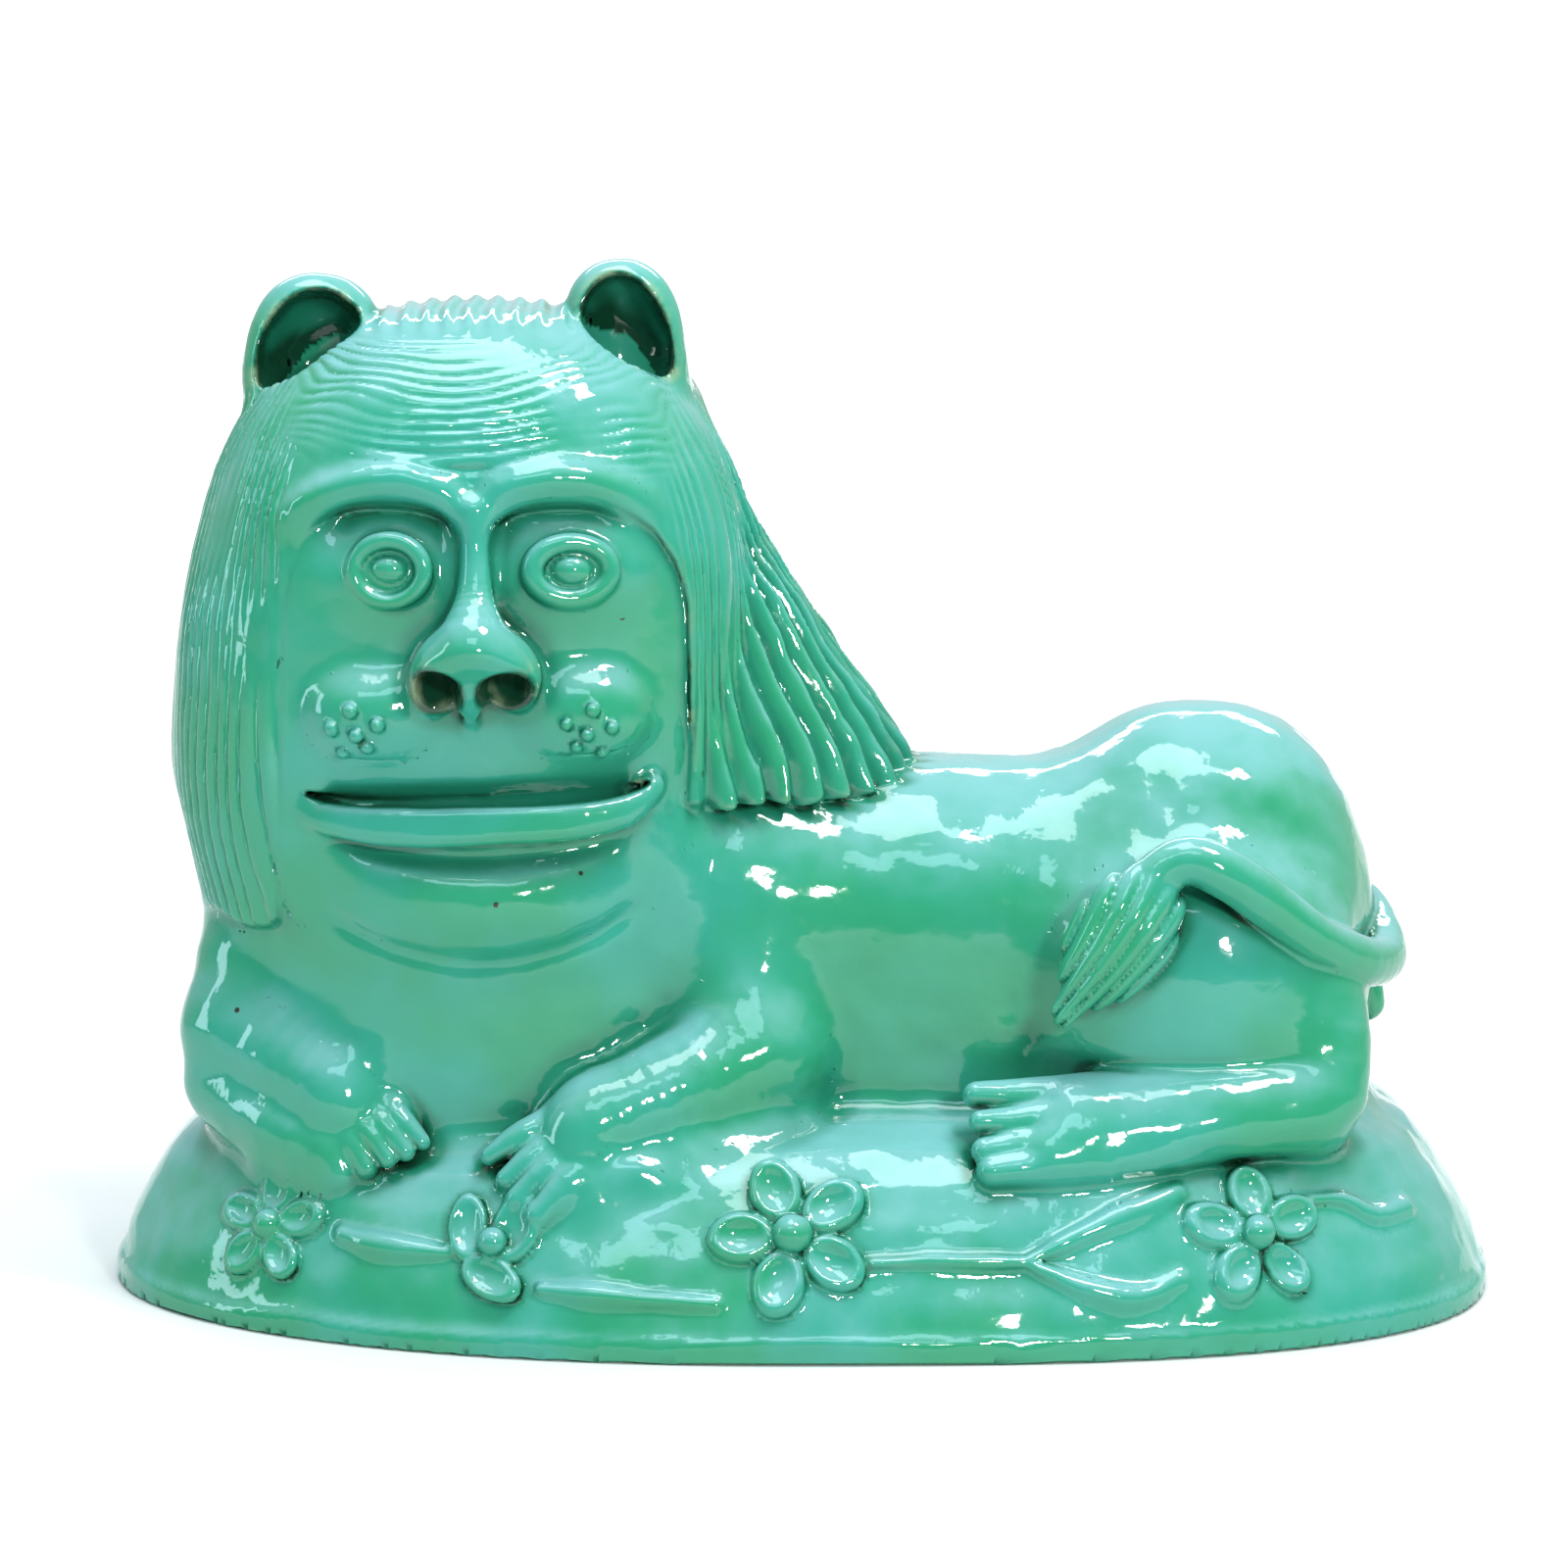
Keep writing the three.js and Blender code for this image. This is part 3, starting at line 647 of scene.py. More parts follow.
# each socket's middle, across from the middle of its eye's ring, and its half width
SOCKETS = {"left": (-3.9, 21.5), "right": (-0.1, 22.0)}


def eye_sockets(points):
    """Wide hollows under the brows, deep and crisp at the top and fading into the cheeks."""
    x, _, z = points.T
    reach = np.zeros(len(points))
    for side, (across, half) in SOCKETS.items():
        socket_x = middle("eyelid_ring_" + side)[0] + across
        share = np.abs(x - socket_x) / half
        under_brow = NODE_BOX["brow_" + side][1][2] - 3.8 - 8.0 * share**2.6 - z
        here = smoothstep(-0.5, 5.5, under_brow) * (1 - smoothstep(3, 38, under_brow))
        outer = np.abs(x - FACE_LINE) > abs(socket_x - FACE_LINE)
        fade = np.where(outer, 1 - smoothstep(0.35, 1.15, share), 1 - smoothstep(0.6, 1.1, share))
        reach = np.maximum(reach, here * fade)
    return pressed_in(points, SOCKET_DEPTH, reach)


def eye_hill(points, side):
    return ellipsoid(points, eye_place(side) + [0, 6.0, -1.5], (15.5, 8.5, 12.5))


LID_THICK = 2.3
LID_INSET = 1.9  # from the ring's outer edge to the middle of its coil


def eyelid(points, node):
    side = node.split("_")[-1]
    away = 1 if side == "left" else -1
    axes = turn(about_x=84, about_z=away * 7)
    u, v, out = turned(points, eye_place(side) + [0, -3.2, 0], axes).T
    wide, tall = (half - LID_INSET for half in EYES[side][1])
    size = np.hypot(u / wide, v / tall) + 1e-6
    slope = np.hypot(u / wide**2, v / tall**2) / size
    return np.hypot((size - 1) / np.maximum(slope, 1e-6), out) - LID_THICK


def eyeball(points, node):
    side = node.split("_")[-1]
    return ellipsoid(points, eye_place(side) + [0, -1.2, 0], (5.4, 4.4, 4.2))


# stops along each brow: offsets across and up from the middle of its box, depth behind the face, radius
BROW_ARCH = {
    "right": [
        (-20.8, -9.4, 9, 2.4),
        (-17.3, -1.4, 4, 3.0),
        (-7.8, 4.1, 1, 3.4),
        (5.2, 6.4, 0, 3.6),
        (16.7, 3.1, 0, 3.4),
        (22.7, -3.4, 0.5, 2.8),
    ],
    "left": [
        (-21.8, -3.4, 0.5, 2.8),
        (-16.3, 3.6, 0, 3.4),
        (-5.3, 6.6, 0.5, 3.6),
        (6.7, 5.1, 3, 3.4),
        (15.7, -0.4, 8, 3.0),
        (18.7, -6.9, 13, 2.4),
    ],
}


def brow(points, node):
    x, _, z = middle(node)
    stops = []
    for across, up, back, radius in BROW_ARCH[node.split("_")[-1]]:
        stops.append([x + across, FACE_Y + 4.2 + back, z + up, radius])
    return bar(points, stops, 3)


NOSE_PLACE = np.array([FACE_LINE, FACE_Y, middle("nose")[2]])


def nose(points):
    local = points - NOSE_PLACE
    stops = [[0, 2.0, 24.3, 2.4], [0.1, 0.8, 14.3, 2.8], [0.1, -1.8, 4.3, 4.2], [-0.1, -6.0, -4.7, 7.2]]
    bridge = bar(local, stops)
    bulb = ellipsoid(local, [-0.1, -8.0, -10.7], (10.0, 9.5, 9.5))
    result = smooth_min(bridge, bulb, 5)
    for across, width in ((-8.9, 7.0), (8.7, 7.6)):
        wing = ellipsoid(local, [across, -4.0, -15.7], (width, 9.5, 9.5))
        result = smooth_min(result, wing, 6.0)
    underside = -((local[:, 1] + 14) + (local[:, 2] + 13.2) * 0.9) * 0.74
    result = smooth_max(result, underside, 3.0)
    septum = bar(local, [[-0.9, -7.0, -18.5, 2.4], [-1.0, -2.6, -24, 2.2], [-1.1, 2.4, -28.5, 1.4]], 1)
    return smooth_min(result, septum, 4.0)


def nostrils(points):
    local = points - NOSE_PLACE
    tilt = turn(about_x=42)
    left = ellipsoid(local, [-8.9, -8.5, -19.2], (4.9, 12.0, 6.6), tilt)
    right = ellipsoid(local, [7.7, -8.5, -18.9], (5.7, 12.0, 6.4), tilt)
    return np.minimum(left, right)


def muzzle(points, node):
    across, back = (2.9, 1.5) if node.endswith("right") else (-2.2, 2.5)
    place = [middle(node)[0] + across, FACE_Y + 5.5 + back, middle(node)[2] - 1.3]
    return plump(points, place, (16.5, 11.5, 12.5), 2.2)


MOUTH_Z = middle("lower_lip")[2] + 3.6
MOUTH_MIDDLE = middle("lower_lip")[0]
MOUTH_HALF = 43.0


def mouth_shape(points):
    """Height over the mouth's crease, whose ends turn up, and the share of its length from the middle."""
    share = (points[:, 0] - MOUTH_MIDDLE) / MOUTH_HALF
    lift = 1.0 * share + 3.0 * np.clip(np.abs(share), 0, 1.1) ** 6
    return points[:, 2] - MOUTH_Z - lift, share


def mouth_slot(points):
    over, share = mouth_shape(points)
    end = np.maximum(np.abs(share) - 0.97, 0) * MOUTH_HALF
    reach = np.clip(np.abs(share), 0, 1)
    surface = FACE_Y + 5 * reach**4
    depth = points[:, 1] - (surface + 5.5)
    height = 0.55 * (1 - 0.7 * reach**3)
    return np.maximum(np.hypot(over, end) - height, depth)


UPPER_LIP_DEPTH = 3.4


def upper_lip_hollow(points):
    """The upper lip slopes back from the muzzle to the mouth's crease."""
    over, share = mouth_shape(points)
    reach = (1 - smoothstep(0, 11.5, over)) * smoothstep(-8, -3, over)
    reach = reach * (1 - smoothstep(0.80, 1.0, np.abs(share)))
    return pressed_in(points, UPPER_LIP_DEPTH, reach)


# places along the lip, as shares of the mouth's half width; height over its crease; depth behind the face
LIP_STOPS = [
    (-1.0, -2.0, 9.5),
    (-0.86, -3.9, 3.6),
    (-0.4, -4.6, -1.2),
    (0.1, -4.8, -2.0),
    (0.5, -4.6, -1.4),
    (0.84, -3.6, 3.0),
    (1.0, 0.4, 9.5),
]


def lower_lip(points):
    """A flat band under the mouth, whose ends turn up round the corners."""
    upper, lower = [], []
    for share, lift, back in LIP_STOPS:
        radius = 2.9 - 0.5 * abs(share) ** 6
        x = MOUTH_MIDDLE + share * MOUTH_HALF
        upper.append([x, FACE_Y + back + 0.6, MOUTH_Z + share + lift + 1.9, radius])
        lower.append([x, FACE_Y + back, MOUTH_Z + share + lift - 2.6 * (1 - abs(share) ** 4), radius])
    return smooth_min(bar(points, upper, 3), bar(points, lower, 3), 4)


# each fold's drop under the mouth, how much its ends rise, half width, depth and breadth
CHIN_FOLDS = [(14.5, 5.0, 36.0, 2.4, 3.4), (40.5, 13.0, 40.0, 1.4, 3.2)]


def chin_folds(points):
    """How deep the soft folds under the mouth go."""
    across = points[:, 0] - MOUTH_MIDDLE
    depth = np.zeros(len(points))
    for drop, rise, half, deep, breadth in CHIN_FOLDS:
        share = across / half
        crease = points[:, 2] - MOUTH_Z + drop - rise * share**2
        depth += deep * np.exp(-((crease / breadth) ** 2)) * (1 - smoothstep(0.75, 1.1, np.abs(share)))
    return depth * on_face(points)


def whisker_place(node):
    """Where a pellet sits: at its node's place across and up, on the surface of the muzzle."""
    place = middle(node)
    line = np.repeat(place[None], 81, 0)
    line[:, 1] = np.linspace(FACE_Y - 17, FACE_Y + 11, 81)
    gap = np.minimum(head(line), muzzle(line, "muzzle_" + node.split("_")[1]))
    first = np.argmax(gap < 0)
    return np.array([place[0], line[first, 1] + 0.2, place[2]])


def whisker(points, node):
    return ellipsoid(points, whisker_place(node) + [0, -0.6, 0], (1.7, 2.2, 1.7))


# ---- Relief on the mound ----
FLOWER_RADIUS = dict(flower_1=15, flower_2=17, flower_3=20.5, flower_4=18, flower_5=18, flower_6=18)
FLOWER_SPIN = dict(flower_1=20, flower_3=38, flower_4=18, flower_5=12, flower_6=60)
PETALS = 5
# flower_2 lies on its side: each petal's place along and up the slope, half length, half width and tilt
SIDE_PETALS = [(-7.0, 4.0, 9.6, 5.4, 97), (5.0, 4.2, 9.6, 6.2, 78), (0.5, -8.6, 9.0, 5.8, -28)]


def petal_plans(node):
    if node == "flower_2":
        return SIDE_PETALS
    size = FLOWER_RADIUS[node]
    plans = []
    for index in range(PETALS):
        degrees = FLOWER_SPIN[node] + index * 360 / PETALS
        along, up = math.cos(math.radians(degrees)), math.sin(math.radians(degrees))
        plans.append((0.6 * size * along, 0.6 * size * up, 0.43 * size, 0.32 * size, degrees))
    return plans


def flower_frame(node):
    x, y, z = middle(node + "_centre")
    return slope_frame(x, z - 1.0, np.sign(y))


def petals(points, node, place):
    size = FLOWER_RADIUS[node]
    local = turned(points, *place)
    result = np.full(len(points), FAR)
    for along, up, half_long, half_wide, degrees in petal_plans(node):
        c, s = math.cos(math.radians(degrees)), math.sin(math.radians(degrees))
        u, v = local[:, 0] - along, local[:, 1] - up
        petal = np.stack([u * c + v * s, v * c - u * s, local[:, 2]], 1)
        pad = ellipsoid(petal, [0, 0, 0.3], (half_long, half_wide, 0.19 * size))
        dish_radii = (half_long * 0.80, half_wide * 0.77, 0.22 * size)
        dish = ellipsoid(petal, [0, 0, 0.26 * size], dish_radii)
        result = smooth_min(result, smooth_max(pad, -dish, 1.4), 0.5)
    return result


def flower_centre(points, node, place):
    point, axes = place
    size = FLOWER_RADIUS[node]
    return ellipsoid(points, point + axes[2] * 0.13 * size, (0.24 * size,) * 3)


# stops along each vine's stems, as shares of the length and height of its own box
VINE_RUNS = {
    "vine_1": [[(0.05, 0.6), (0.4, 0.35), (0.97, 0.35)]],
    "vine_2": [[(0.02, 0.65), (0.35, 0.5), (0.7, 0.4), (0.98, 0.3)]],
    "vine_3": [
        [(0.02, 0.4), (0.2, 0.42), (0.36, 0.4), (0.52, 0.4)],
        [(0.5, 0.4), (0.64, 0.58), (0.8, 0.74), (0.98, 0.93)],
        [(0.5, 0.4), (0.68, 0.16), (0.85, 0.06), (0.98, 0.2)],
    ],
    "vine_4": [[(0.03, 0.85), (0.35, 0.75), (0.65, 0.3), (0.97, 0.3)]],
    "vine_5": [[(0.98, 0.45), (0.78, 0.1), (0.54, 0.85), (0.28, 0.15), (0.02, 0.5)]],
}
VINE_RADIUS = 2.1


def vine_routes(node):
    low, high = NODE_BOX[node]
    side = np.sign(low[1] + high[1])
    routes = []
    for run in VINE_RUNS[node]:
        route = []
        for share_x, share_z in run:
            x, _, z = low + np.array([share_x, 0, share_z]) * (high - low)
            point, axes = slope_frame(x, z, side)
            end = 1 - abs(2 * share_x - 1) ** 5
            route.append([*(point + axes[2] * 0.2 * end), VINE_RADIUS * (0.55 + 0.45 * end)])
        routes.append(route)
    return routes


def vine(points, routes):
    return np.minimum.reduce([bar(points, route, 3) for route in routes])


# ---- The clay: every shape, how softly it joins what came before, and what is cut out at the end ----
PIECE = {name: number + 1 for number, name in enumerate(sorted(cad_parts))}
SIDES = ("left", "right")


class Form:
    """One shape of clay. Its owner is a piece, or a function that gives each place its piece."""

    def __init__(self, shape, owner, blend, margin=12.0, nodes=None, **details):
        boxes = [NODE_BOX[node] for node in nodes or [owner]]
        self.low = np.min([b[0] for b in boxes], 0) - margin
        self.high = np.max([b[1] for b in boxes], 0) + margin
        self.shape = partial(shape, **details)
        self.owner = owner
        self.blend = blend


def node_form(shape, node, blend, margin=12.0):
    return Form(shape, node, blend, margin, node=node)


def make_forms():
    forms = [Form(mound, "mound", 0, 20), Form(chest, "chest", 6, 24), Form(torso, "torso", 7, 24)]
    forms += [node_form(foreleg, "foreleg_left", 8, 18), node_form(foreleg, "foreleg_right", 11, 18)]
    for side in SIDES:
        forms.append(node_form(haunch, "haunch_" + side, 12, 18))
        forms.append(node_form(hind_foot, "hind_foot_" + side, 3.0, 16))
    forms += [node_form(forepaw, "forepaw_" + side, 3.5, 16) for side in SIDES]
    forms.append(Form(head, "head", 13, 22))
    forms += [node_form(muzzle, "muzzle_" + side, 5, 14) for side in SIDES]
    forms.append(Form(hair, hair_piece, 1.2, 16, ["crown_hair", "mane_left", "mane_right", "mane_cape"]))
    forms += [Form(tail, "tail", 1.5, 14), Form(tail_tuft, "tail_tuft", 1.4, 18)]
    forms.append(Form(rump_nub, "rump_nub", 1.5))
    return forms + [node_form(ear, "ear_" + side, 3) for side in SIDES]


def make_details():
    """Small forms that go on after the sockets, the upper lip and the ears' cups are cut, and before the
    nostrils and mouth are.
    """
    forms = []
    for side in SIDES:
        ring = "eyelid_ring_" + side
        forms.append(node_form(brow, "brow_" + side, 5, 12))
        forms.append(Form(eye_hill, "head", 8, 18, [ring], side=side))
        forms.append(node_form(eyelid, ring, 1.8, 9))
        forms.append(node_form(eyeball, "eyeball_" + side, 0.8, 9))
    forms += [Form(nose, "nose", 4.0, 14), Form(lower_lip, "lower_lip", 2.5, 14)]
    for node in FLOWER_RADIUS:
        place = flower_frame(node)
        centre = node + "_centre"
        forms.append(Form(petals, node, 1.2, 8, node=node, place=place))
        forms.append(Form(flower_centre, centre, 0.8, 6, node=node, place=place))
    forms += [Form(vine, node, 2.5, 8, routes=vine_routes(node)) for node in VINE_RUNS]
    return forms + [node_form(whisker, node, 0.6, 6.0) for node in sorted(PIECE) if "whisker" in node]


FORMS = make_forms()
DETAILS = make_details()


def press(forms, points, clay, nearest, owner):
    """Adds forms to the clay at points, and keeps which piece each place is nearest to."""
    for form in forms:
        inside = ((points > form.low) & (points < form.high)).all(1)
        if not inside.any():
            continue
        local = points[inside]
        gap = form.shape(local)
        clay[inside] = smooth_min(clay[inside], gap, form.blend)
        names = form.owner(local) if callable(form.owner) else PIECE[form.owner]
        closer = gap < nearest[inside]
        owner[inside] = np.where(closer, names, owner[inside])
        nearest[inside] = np.minimum(nearest[inside], gap)


def cut(points, clay, hollow, blend, low, high):
    inside = ((points > low) & (points < high)).all(1)
    if inside.any():
        clay[inside] = smooth_max(clay[inside], -hollow(points[inside]), blend)


# rooms inside the body: the node, the room's middle as shares of its box, half sizes, and its ceiling
ROOMS = [
    ("chest", (0.5, 0.49, 0.54), (54, 38, 48), middle("chest")[2] + 4),
    ("torso", (0.38, 0.5, 0.38), (76, 36, 33), FAR),
    ("torso", (0.735, 0.5, 0.43), (40, 35, 44), FAR),
]
CHEST_FLOOR = NODE_BOX["chest"][0][2]
# windows between the rooms: middle across and in depth, half width and half depth, level and half height
WINDOWS = [
    (middle("torso")[0] - 6.5, 0, 42, 20, CHEST_FLOOR + 5, 22),
    (middle("chest")[0] + 0.4, middle("chest")[1] + 9, 30, 22, CHEST_FLOOR + 2, 18),
    (middle("head")[0] + 0.7, middle("head")[1] + 4, 24, 18, middle("head")[2] - 58, 26),
]


def hollows(points):
    """The open inside: mound, chest, torso and head, and the windows between them."""
    skull = np.maximum(dome(points, -WALL - 3.5), FACE_Y + WALL + 1.0 - points[:, 1])
    skull = np.maximum(skull, HOOD_LOW + 6 - points[:, 2])
    skull = smooth_max(skull, EAR_FLOOR - ear_cups(points), 3)
    inside = [skull, mound_hollow(points)]
    x, y, z = points.T
    for node, place, radii, ceiling in ROOMS:
        inside.append(np.maximum(ellipsoid(points, at(node, *place), radii), z - ceiling))
    for mid_x, mid_y, wide, deep, level, tall in WINDOWS:
        window = (np.hypot((x - mid_x) / wide, (y - mid_y) / deep) - 1) * deep
        inside.append(np.maximum(window, np.abs(z - level) - tall))
    return np.minimum.reduce(inside)


def sculpt(points):
    """Distance to the clay's surface, and the number of the piece that owns each place."""
    clay = np.full(len(points), FAR)
    nearest = np.full(len(points), FAR)
    owner = np.full(len(points), PIECE["mound"], np.int16)
    press(FORMS, points, clay, nearest, owner)
    face_low, face_high = NODE_BOX["head"][0] - 20, NODE_BOX["head"][1] + 5
    cut(points, clay, eye_sockets, 3.5, face_low, face_high)
    cut(points, clay, upper_lip_hollow, 3.5, face_low, face_high)
    clay += chin_folds(points)
    cut(points, clay, ear_cups, 2.0, face_low, face_high + 25)
    press(DETAILS, points, clay, nearest, owner)
    cut(points, clay, nostrils, 2.6, face_low, face_high)
    cut(points, clay, mouth_slot, 1.2, face_low, face_high)
    uneven = FIRED_LUMPS * lumps(points, LUMP_SIZE) + FINGER_DENTS * dents(points, DENT_SIZE)
    base = BASE_LUMPS * lumps(points[:, ::-1], 26) + 0.5 * BASE_LUMPS * lumps(points[:, ::-1] + 40, 12)
    uneven += base * smoothstep(MOUND_TOP + 0.5, MOUND_TOP - 7.5, points[:, 2])
    above_foot = smoothstep(2, 10, points[:, 2])
    clay = clay + uneven * above_foot
    clay = np.maximum(clay, -points[:, 2])
    return smooth_max(clay, -hollows(points), 1.0), owner


# ---- One mesh from the clay, parted at the pieces' borders ----
def lattice(axes):
    return np.stack(np.meshgrid(*axes, indexing="ij"), -1).reshape(-1, 3)


def neighbours(axis, across):
    """The index of every cell but the last along an axis, and that of the cell after each."""
    near, far = [across] * 3, [across] * 3
    near[axis], far[axis] = slice(0, -1), slice(1, None)
    return tuple(near), tuple(far)


def spread(values):
    """Every block's value at each of its voxels."""
    for axis in range(3):
        values = np.repeat(values, BLOCK, axis)
    return values


def sample_grid(low, counts):
    """The distance and owner at each grid place near a surface or border, and one per block elsewhere."""
    blocks = counts // BLOCK
    centres = [low[k] + (np.arange(blocks[k]) * BLOCK + (BLOCK - 1) / 2) * VOXEL for k in range(3)]
    gap, owner = (values.reshape(blocks) for values in sculpt_in_parts(lattice(centres)))
    reach = BLOCK * VOXEL * 0.9 + 1.6
    wanted = np.abs(gap) < reach
    inside = gap < reach
    for axis in range(3):
        near, far = neighbours(axis, slice(None))
        border = (owner[near] != owner[far]) & inside[near] & inside[far]
        wanted[near] |= border
        wanted[far] |= border
    field, names = spread(gap).astype(np.float32), spread(owner)
    corners = np.argwhere(wanted) * BLOCK
    index = (corners[:, None, :] + lattice([np.arange(BLOCK)] * 3)[None]).reshape(-1, 3)
    place = tuple(index.T)
    field[place], names[place] = sculpt_in_parts(low + index * VOXEL)
    return field, names


PART = 16384  # places that one worker looks at in one go
WORKERS = 4


def sculpt_in_parts(points):
    parts = [points[start : start + PART] for start in range(0, len(points), PART)]
    with ThreadPoolExecutor(WORKERS) as pool:
        results = list(pool.map(sculpt, parts))
    return np.concatenate([r[0] for r in results]), np.concatenate([r[1] for r in results])


def surface_slope(points, step=0.35):
    """The distance at points and the direction in which it grows, from four places round each."""
    corners = np.array([[1, -1, -1], [-1, -1, 1], [-1, 1, -1], [1, 1, 1]], float)
    total = np.zeros((len(points), 3))
    mean = np.zeros(len(points))
    for corner in corners:
        gap, _ = sculpt_in_parts(points + corner * step)
        total += gap[:, None] * corner
        mean += gap / 4
    return mean, total / (4 * step)


def surface_nets(low, field, names):
    """Shared vertices, and a four-cornered face at each border between two labels. Label 0 is the air."""
    label = np.where(field < 0, names, 0).astype(np.int16)
    cells = np.array(label.shape) - 1
    strides = np.array([cells[1] * cells[2], cells[2], 1])
    faces, sides = [], []
    total = np.zeros((int(cells.prod()), 4), np.float32)
    touched_air = np.zeros(int(cells.prod()), bool)
    for axis in range(3):
        u, v = (axis + 1) % 3, (axis + 2) % 3
        near, far = neighbours(axis, slice(1, -1))
        start = np.argwhere(label[near] != label[far])
        offset = np.ones(3, int)
        offset[axis] = 0
        start += offset
        ends = tuple(start.T), tuple((start + 1 - offset).T)
        label_a, label_b = (label[end] for end in ends)
        gap_a, gap_b = (field[end] for end in ends)
        air = (label_a == 0) | (label_b == 0)
        share = np.where(air, np.clip(gap_a / np.where(gap_a == gap_b, 1, gap_a - gap_b), 0, 1), 0.5)
        crossing = start.astype(float)
        crossing[:, axis] += share
        shifts = [du * strides[u] + dv * strides[v] for du, dv in ((-1, -1), (0, -1), (0, 0), (-1, 0))]
        corners = (start @ strides)[:, None] + shifts
        faces.append(corners)
        sides.append(np.stack([label_a, label_b], 1))
        weight = np.where(air, 1.0, 1e-3)
        for k in range(4):
            for column in range(3):
                total[:, column] += np.bincount(corners[:, k], crossing[:, column] * weight, len(total))
            total[:, 3] += np.bincount(corners[:, k], weight, len(total))
            touched_air[corners[air, k]] = True
    faces, sides = np.concatenate(faces), np.concatenate(sides)
    used = np.unique(faces)
    renumber = np.zeros(len(total), np.int64)
    renumber[used] = np.arange(len(used))
    vertices = low + total[used, :3] / total[used, 3:] * VOXEL
    return vertices.astype(float), renumber[faces], sides, touched_air[used]


INNER_CELL = 4.0  # how coarse the mesh gets inside the clay
PLAIN_CELL = 2.0  # and on the plain parts of the mound
NO_PIECE = 999


def thin_out(vertices, faces, sides, on_surface):
    """Merges vertices into wider cells inside the clay, and on the plain parts of the mound."""
    inner = ~on_surface | (hollows(vertices) < 1.5)
    most = np.zeros(len(vertices), np.int64)
    np.maximum.at(most, faces.ravel(), np.repeat(sides.max(1), 4))
    least = np.full(len(vertices), NO_PIECE)
    np.minimum.at(least, faces.ravel(), np.repeat(np.where(sides == 0, NO_PIECE, sides).min(1), 4))
    plain = (most == PIECE["mound"]) & (least == PIECE["mound"])
    width = np.where(inner, INNER_CELL, np.where(plain, PLAIN_CELL, 0.0))
    key = np.floor(vertices / np.maximum(width, 1e-9)[:, None]).astype(np.int64)
    key[width == 0] = 0
    unique = np.where(width == 0, np.arange(len(vertices)) + 10**7, 0)
    kind = (width * 10).astype(np.int64) + 10**3 * on_surface + 10**5 * most
    kind += 10**7 * np.minimum(least, 99)
    kind[width == 0] = 0
    rows = np.column_stack([key, kind, unique])
    _, first, group = np.unique(rows, axis=0, return_index=True, return_inverse=True)
    group = group.ravel()
    count = np.bincount(group)
    merged = np.stack([np.bincount(group, vertices[:, k]) / count for k in range(3)], 1)
    return merged, group[faces], on_surface[first]


def clean_polygons(faces, sides):
    """Drops repeated corners, and faces with fewer than three."""
    same = faces == np.roll(faces, -1, 1)
    corners = 4 - same.sum(1)
    twisted = (faces[:, 0] == faces[:, 2]) | (faces[:, 1] == faces[:, 3])
    whole = (corners == 4) & ~twisted
    three = corners == 3
    triangles = faces[three][~same[three]].reshape(-1, 3)
    proper = (triangles != np.roll(triangles, -1, 1)).all(1)
    return (faces[whole], sides[whole]), (triangles[proper], sides[three][proper])


def settle(vertices, on_surface):
    """Moves the outer vertices exactly onto the clay's surface, and gives each its normal."""
    outer = vertices[on_surface]
    for _ in range(2):
        gap, slope = surface_slope(outer)
        size = (slope**2).sum(1)
        move = np.clip(gap / np.maximum(size, 0.2), -0.6 * VOXEL, 0.6 * VOXEL)
        outer -= slope * move[:, None]
    _, slope = surface_slope(outer)
    normals = np.zeros_like(vertices)
    normals[on_surface] = slope / np.maximum(np.linalg.norm(slope, axis=1), 1e-6)[:, None]
    vertices[on_surface] = outer
    return vertices, normals


# ==== Blender ====
scene = bpy.context.scene

# ---- Camera, light and floor ----
VIEW_HEIGHT_ANGLE = math.radians(10)
VIEW_DISTANCE = 1.5
VIEW_WIDTH = 0.4
SENSOR = 36.0
VIEW_SHIFT = [-0.004, 0, -0.0042]  # from the middle of the CAD to the middle of the picture
view_target = Vector((np.add(*cad_bounds) / 2 + VIEW_SHIFT).tolist())


def add_camera():
    data = bpy.data.cameras.new("camera")
    data.sensor_width = SENSOR
    data.lens = SENSOR * VIEW_DISTANCE / VIEW_WIDTH
    camera = bpy.data.objects.new("camera", data)
    offset = Vector((0, -math.cos(VIEW_HEIGHT_ANGLE), math.sin(VIEW_HEIGHT_ANGLE)))
    camera.location = view_target + offset * VIEW_DISTANCE
    camera.rotation_euler = (-offset).to_track_quat("-Z", "Y").to_euler()
    scene.collection.objects.link(camera)
    scene.camera = camera


# each light's place in metres, its size, watts, colour, and what it points at: None is the view's middle
LIGHTS = {
    "key": ((0.50, -0.35, 1.40), (0.32, 0.38), 10, (1.0, 0.98, 0.95), None),
    "side": ((-1.5, -0.30, 0.50), (0.22, 0.8), 4, (0.62, 0.85, 1.0), None),
    "over": ((-0.12, -0.05, 1.5), (0.95, 0.6), 11, (0.85, 0.95, 1.0), None),
    "sky": ((-0.10, -1.0, 1.25), (0.70, 0.28), 3, (0.55, 0.82, 1.0), None),
    "fill": ((0.45, -1.35, 0.62), (0.16, 0.16), 11, (1.0, 1.0, 0.97), None),
    "backdrop": ((0.0, 2.4, 1.8), (3.0, 1.0), 95, (1.0, 1.0, 1.0), (0.0, 3.0, 0.0)),
    "far_floor": ((0.0, 4.8, 2.5), (10.0, 1.5), 600, (1.0, 1.0, 1.0), (0.0, 9.0, 0.0)),
}


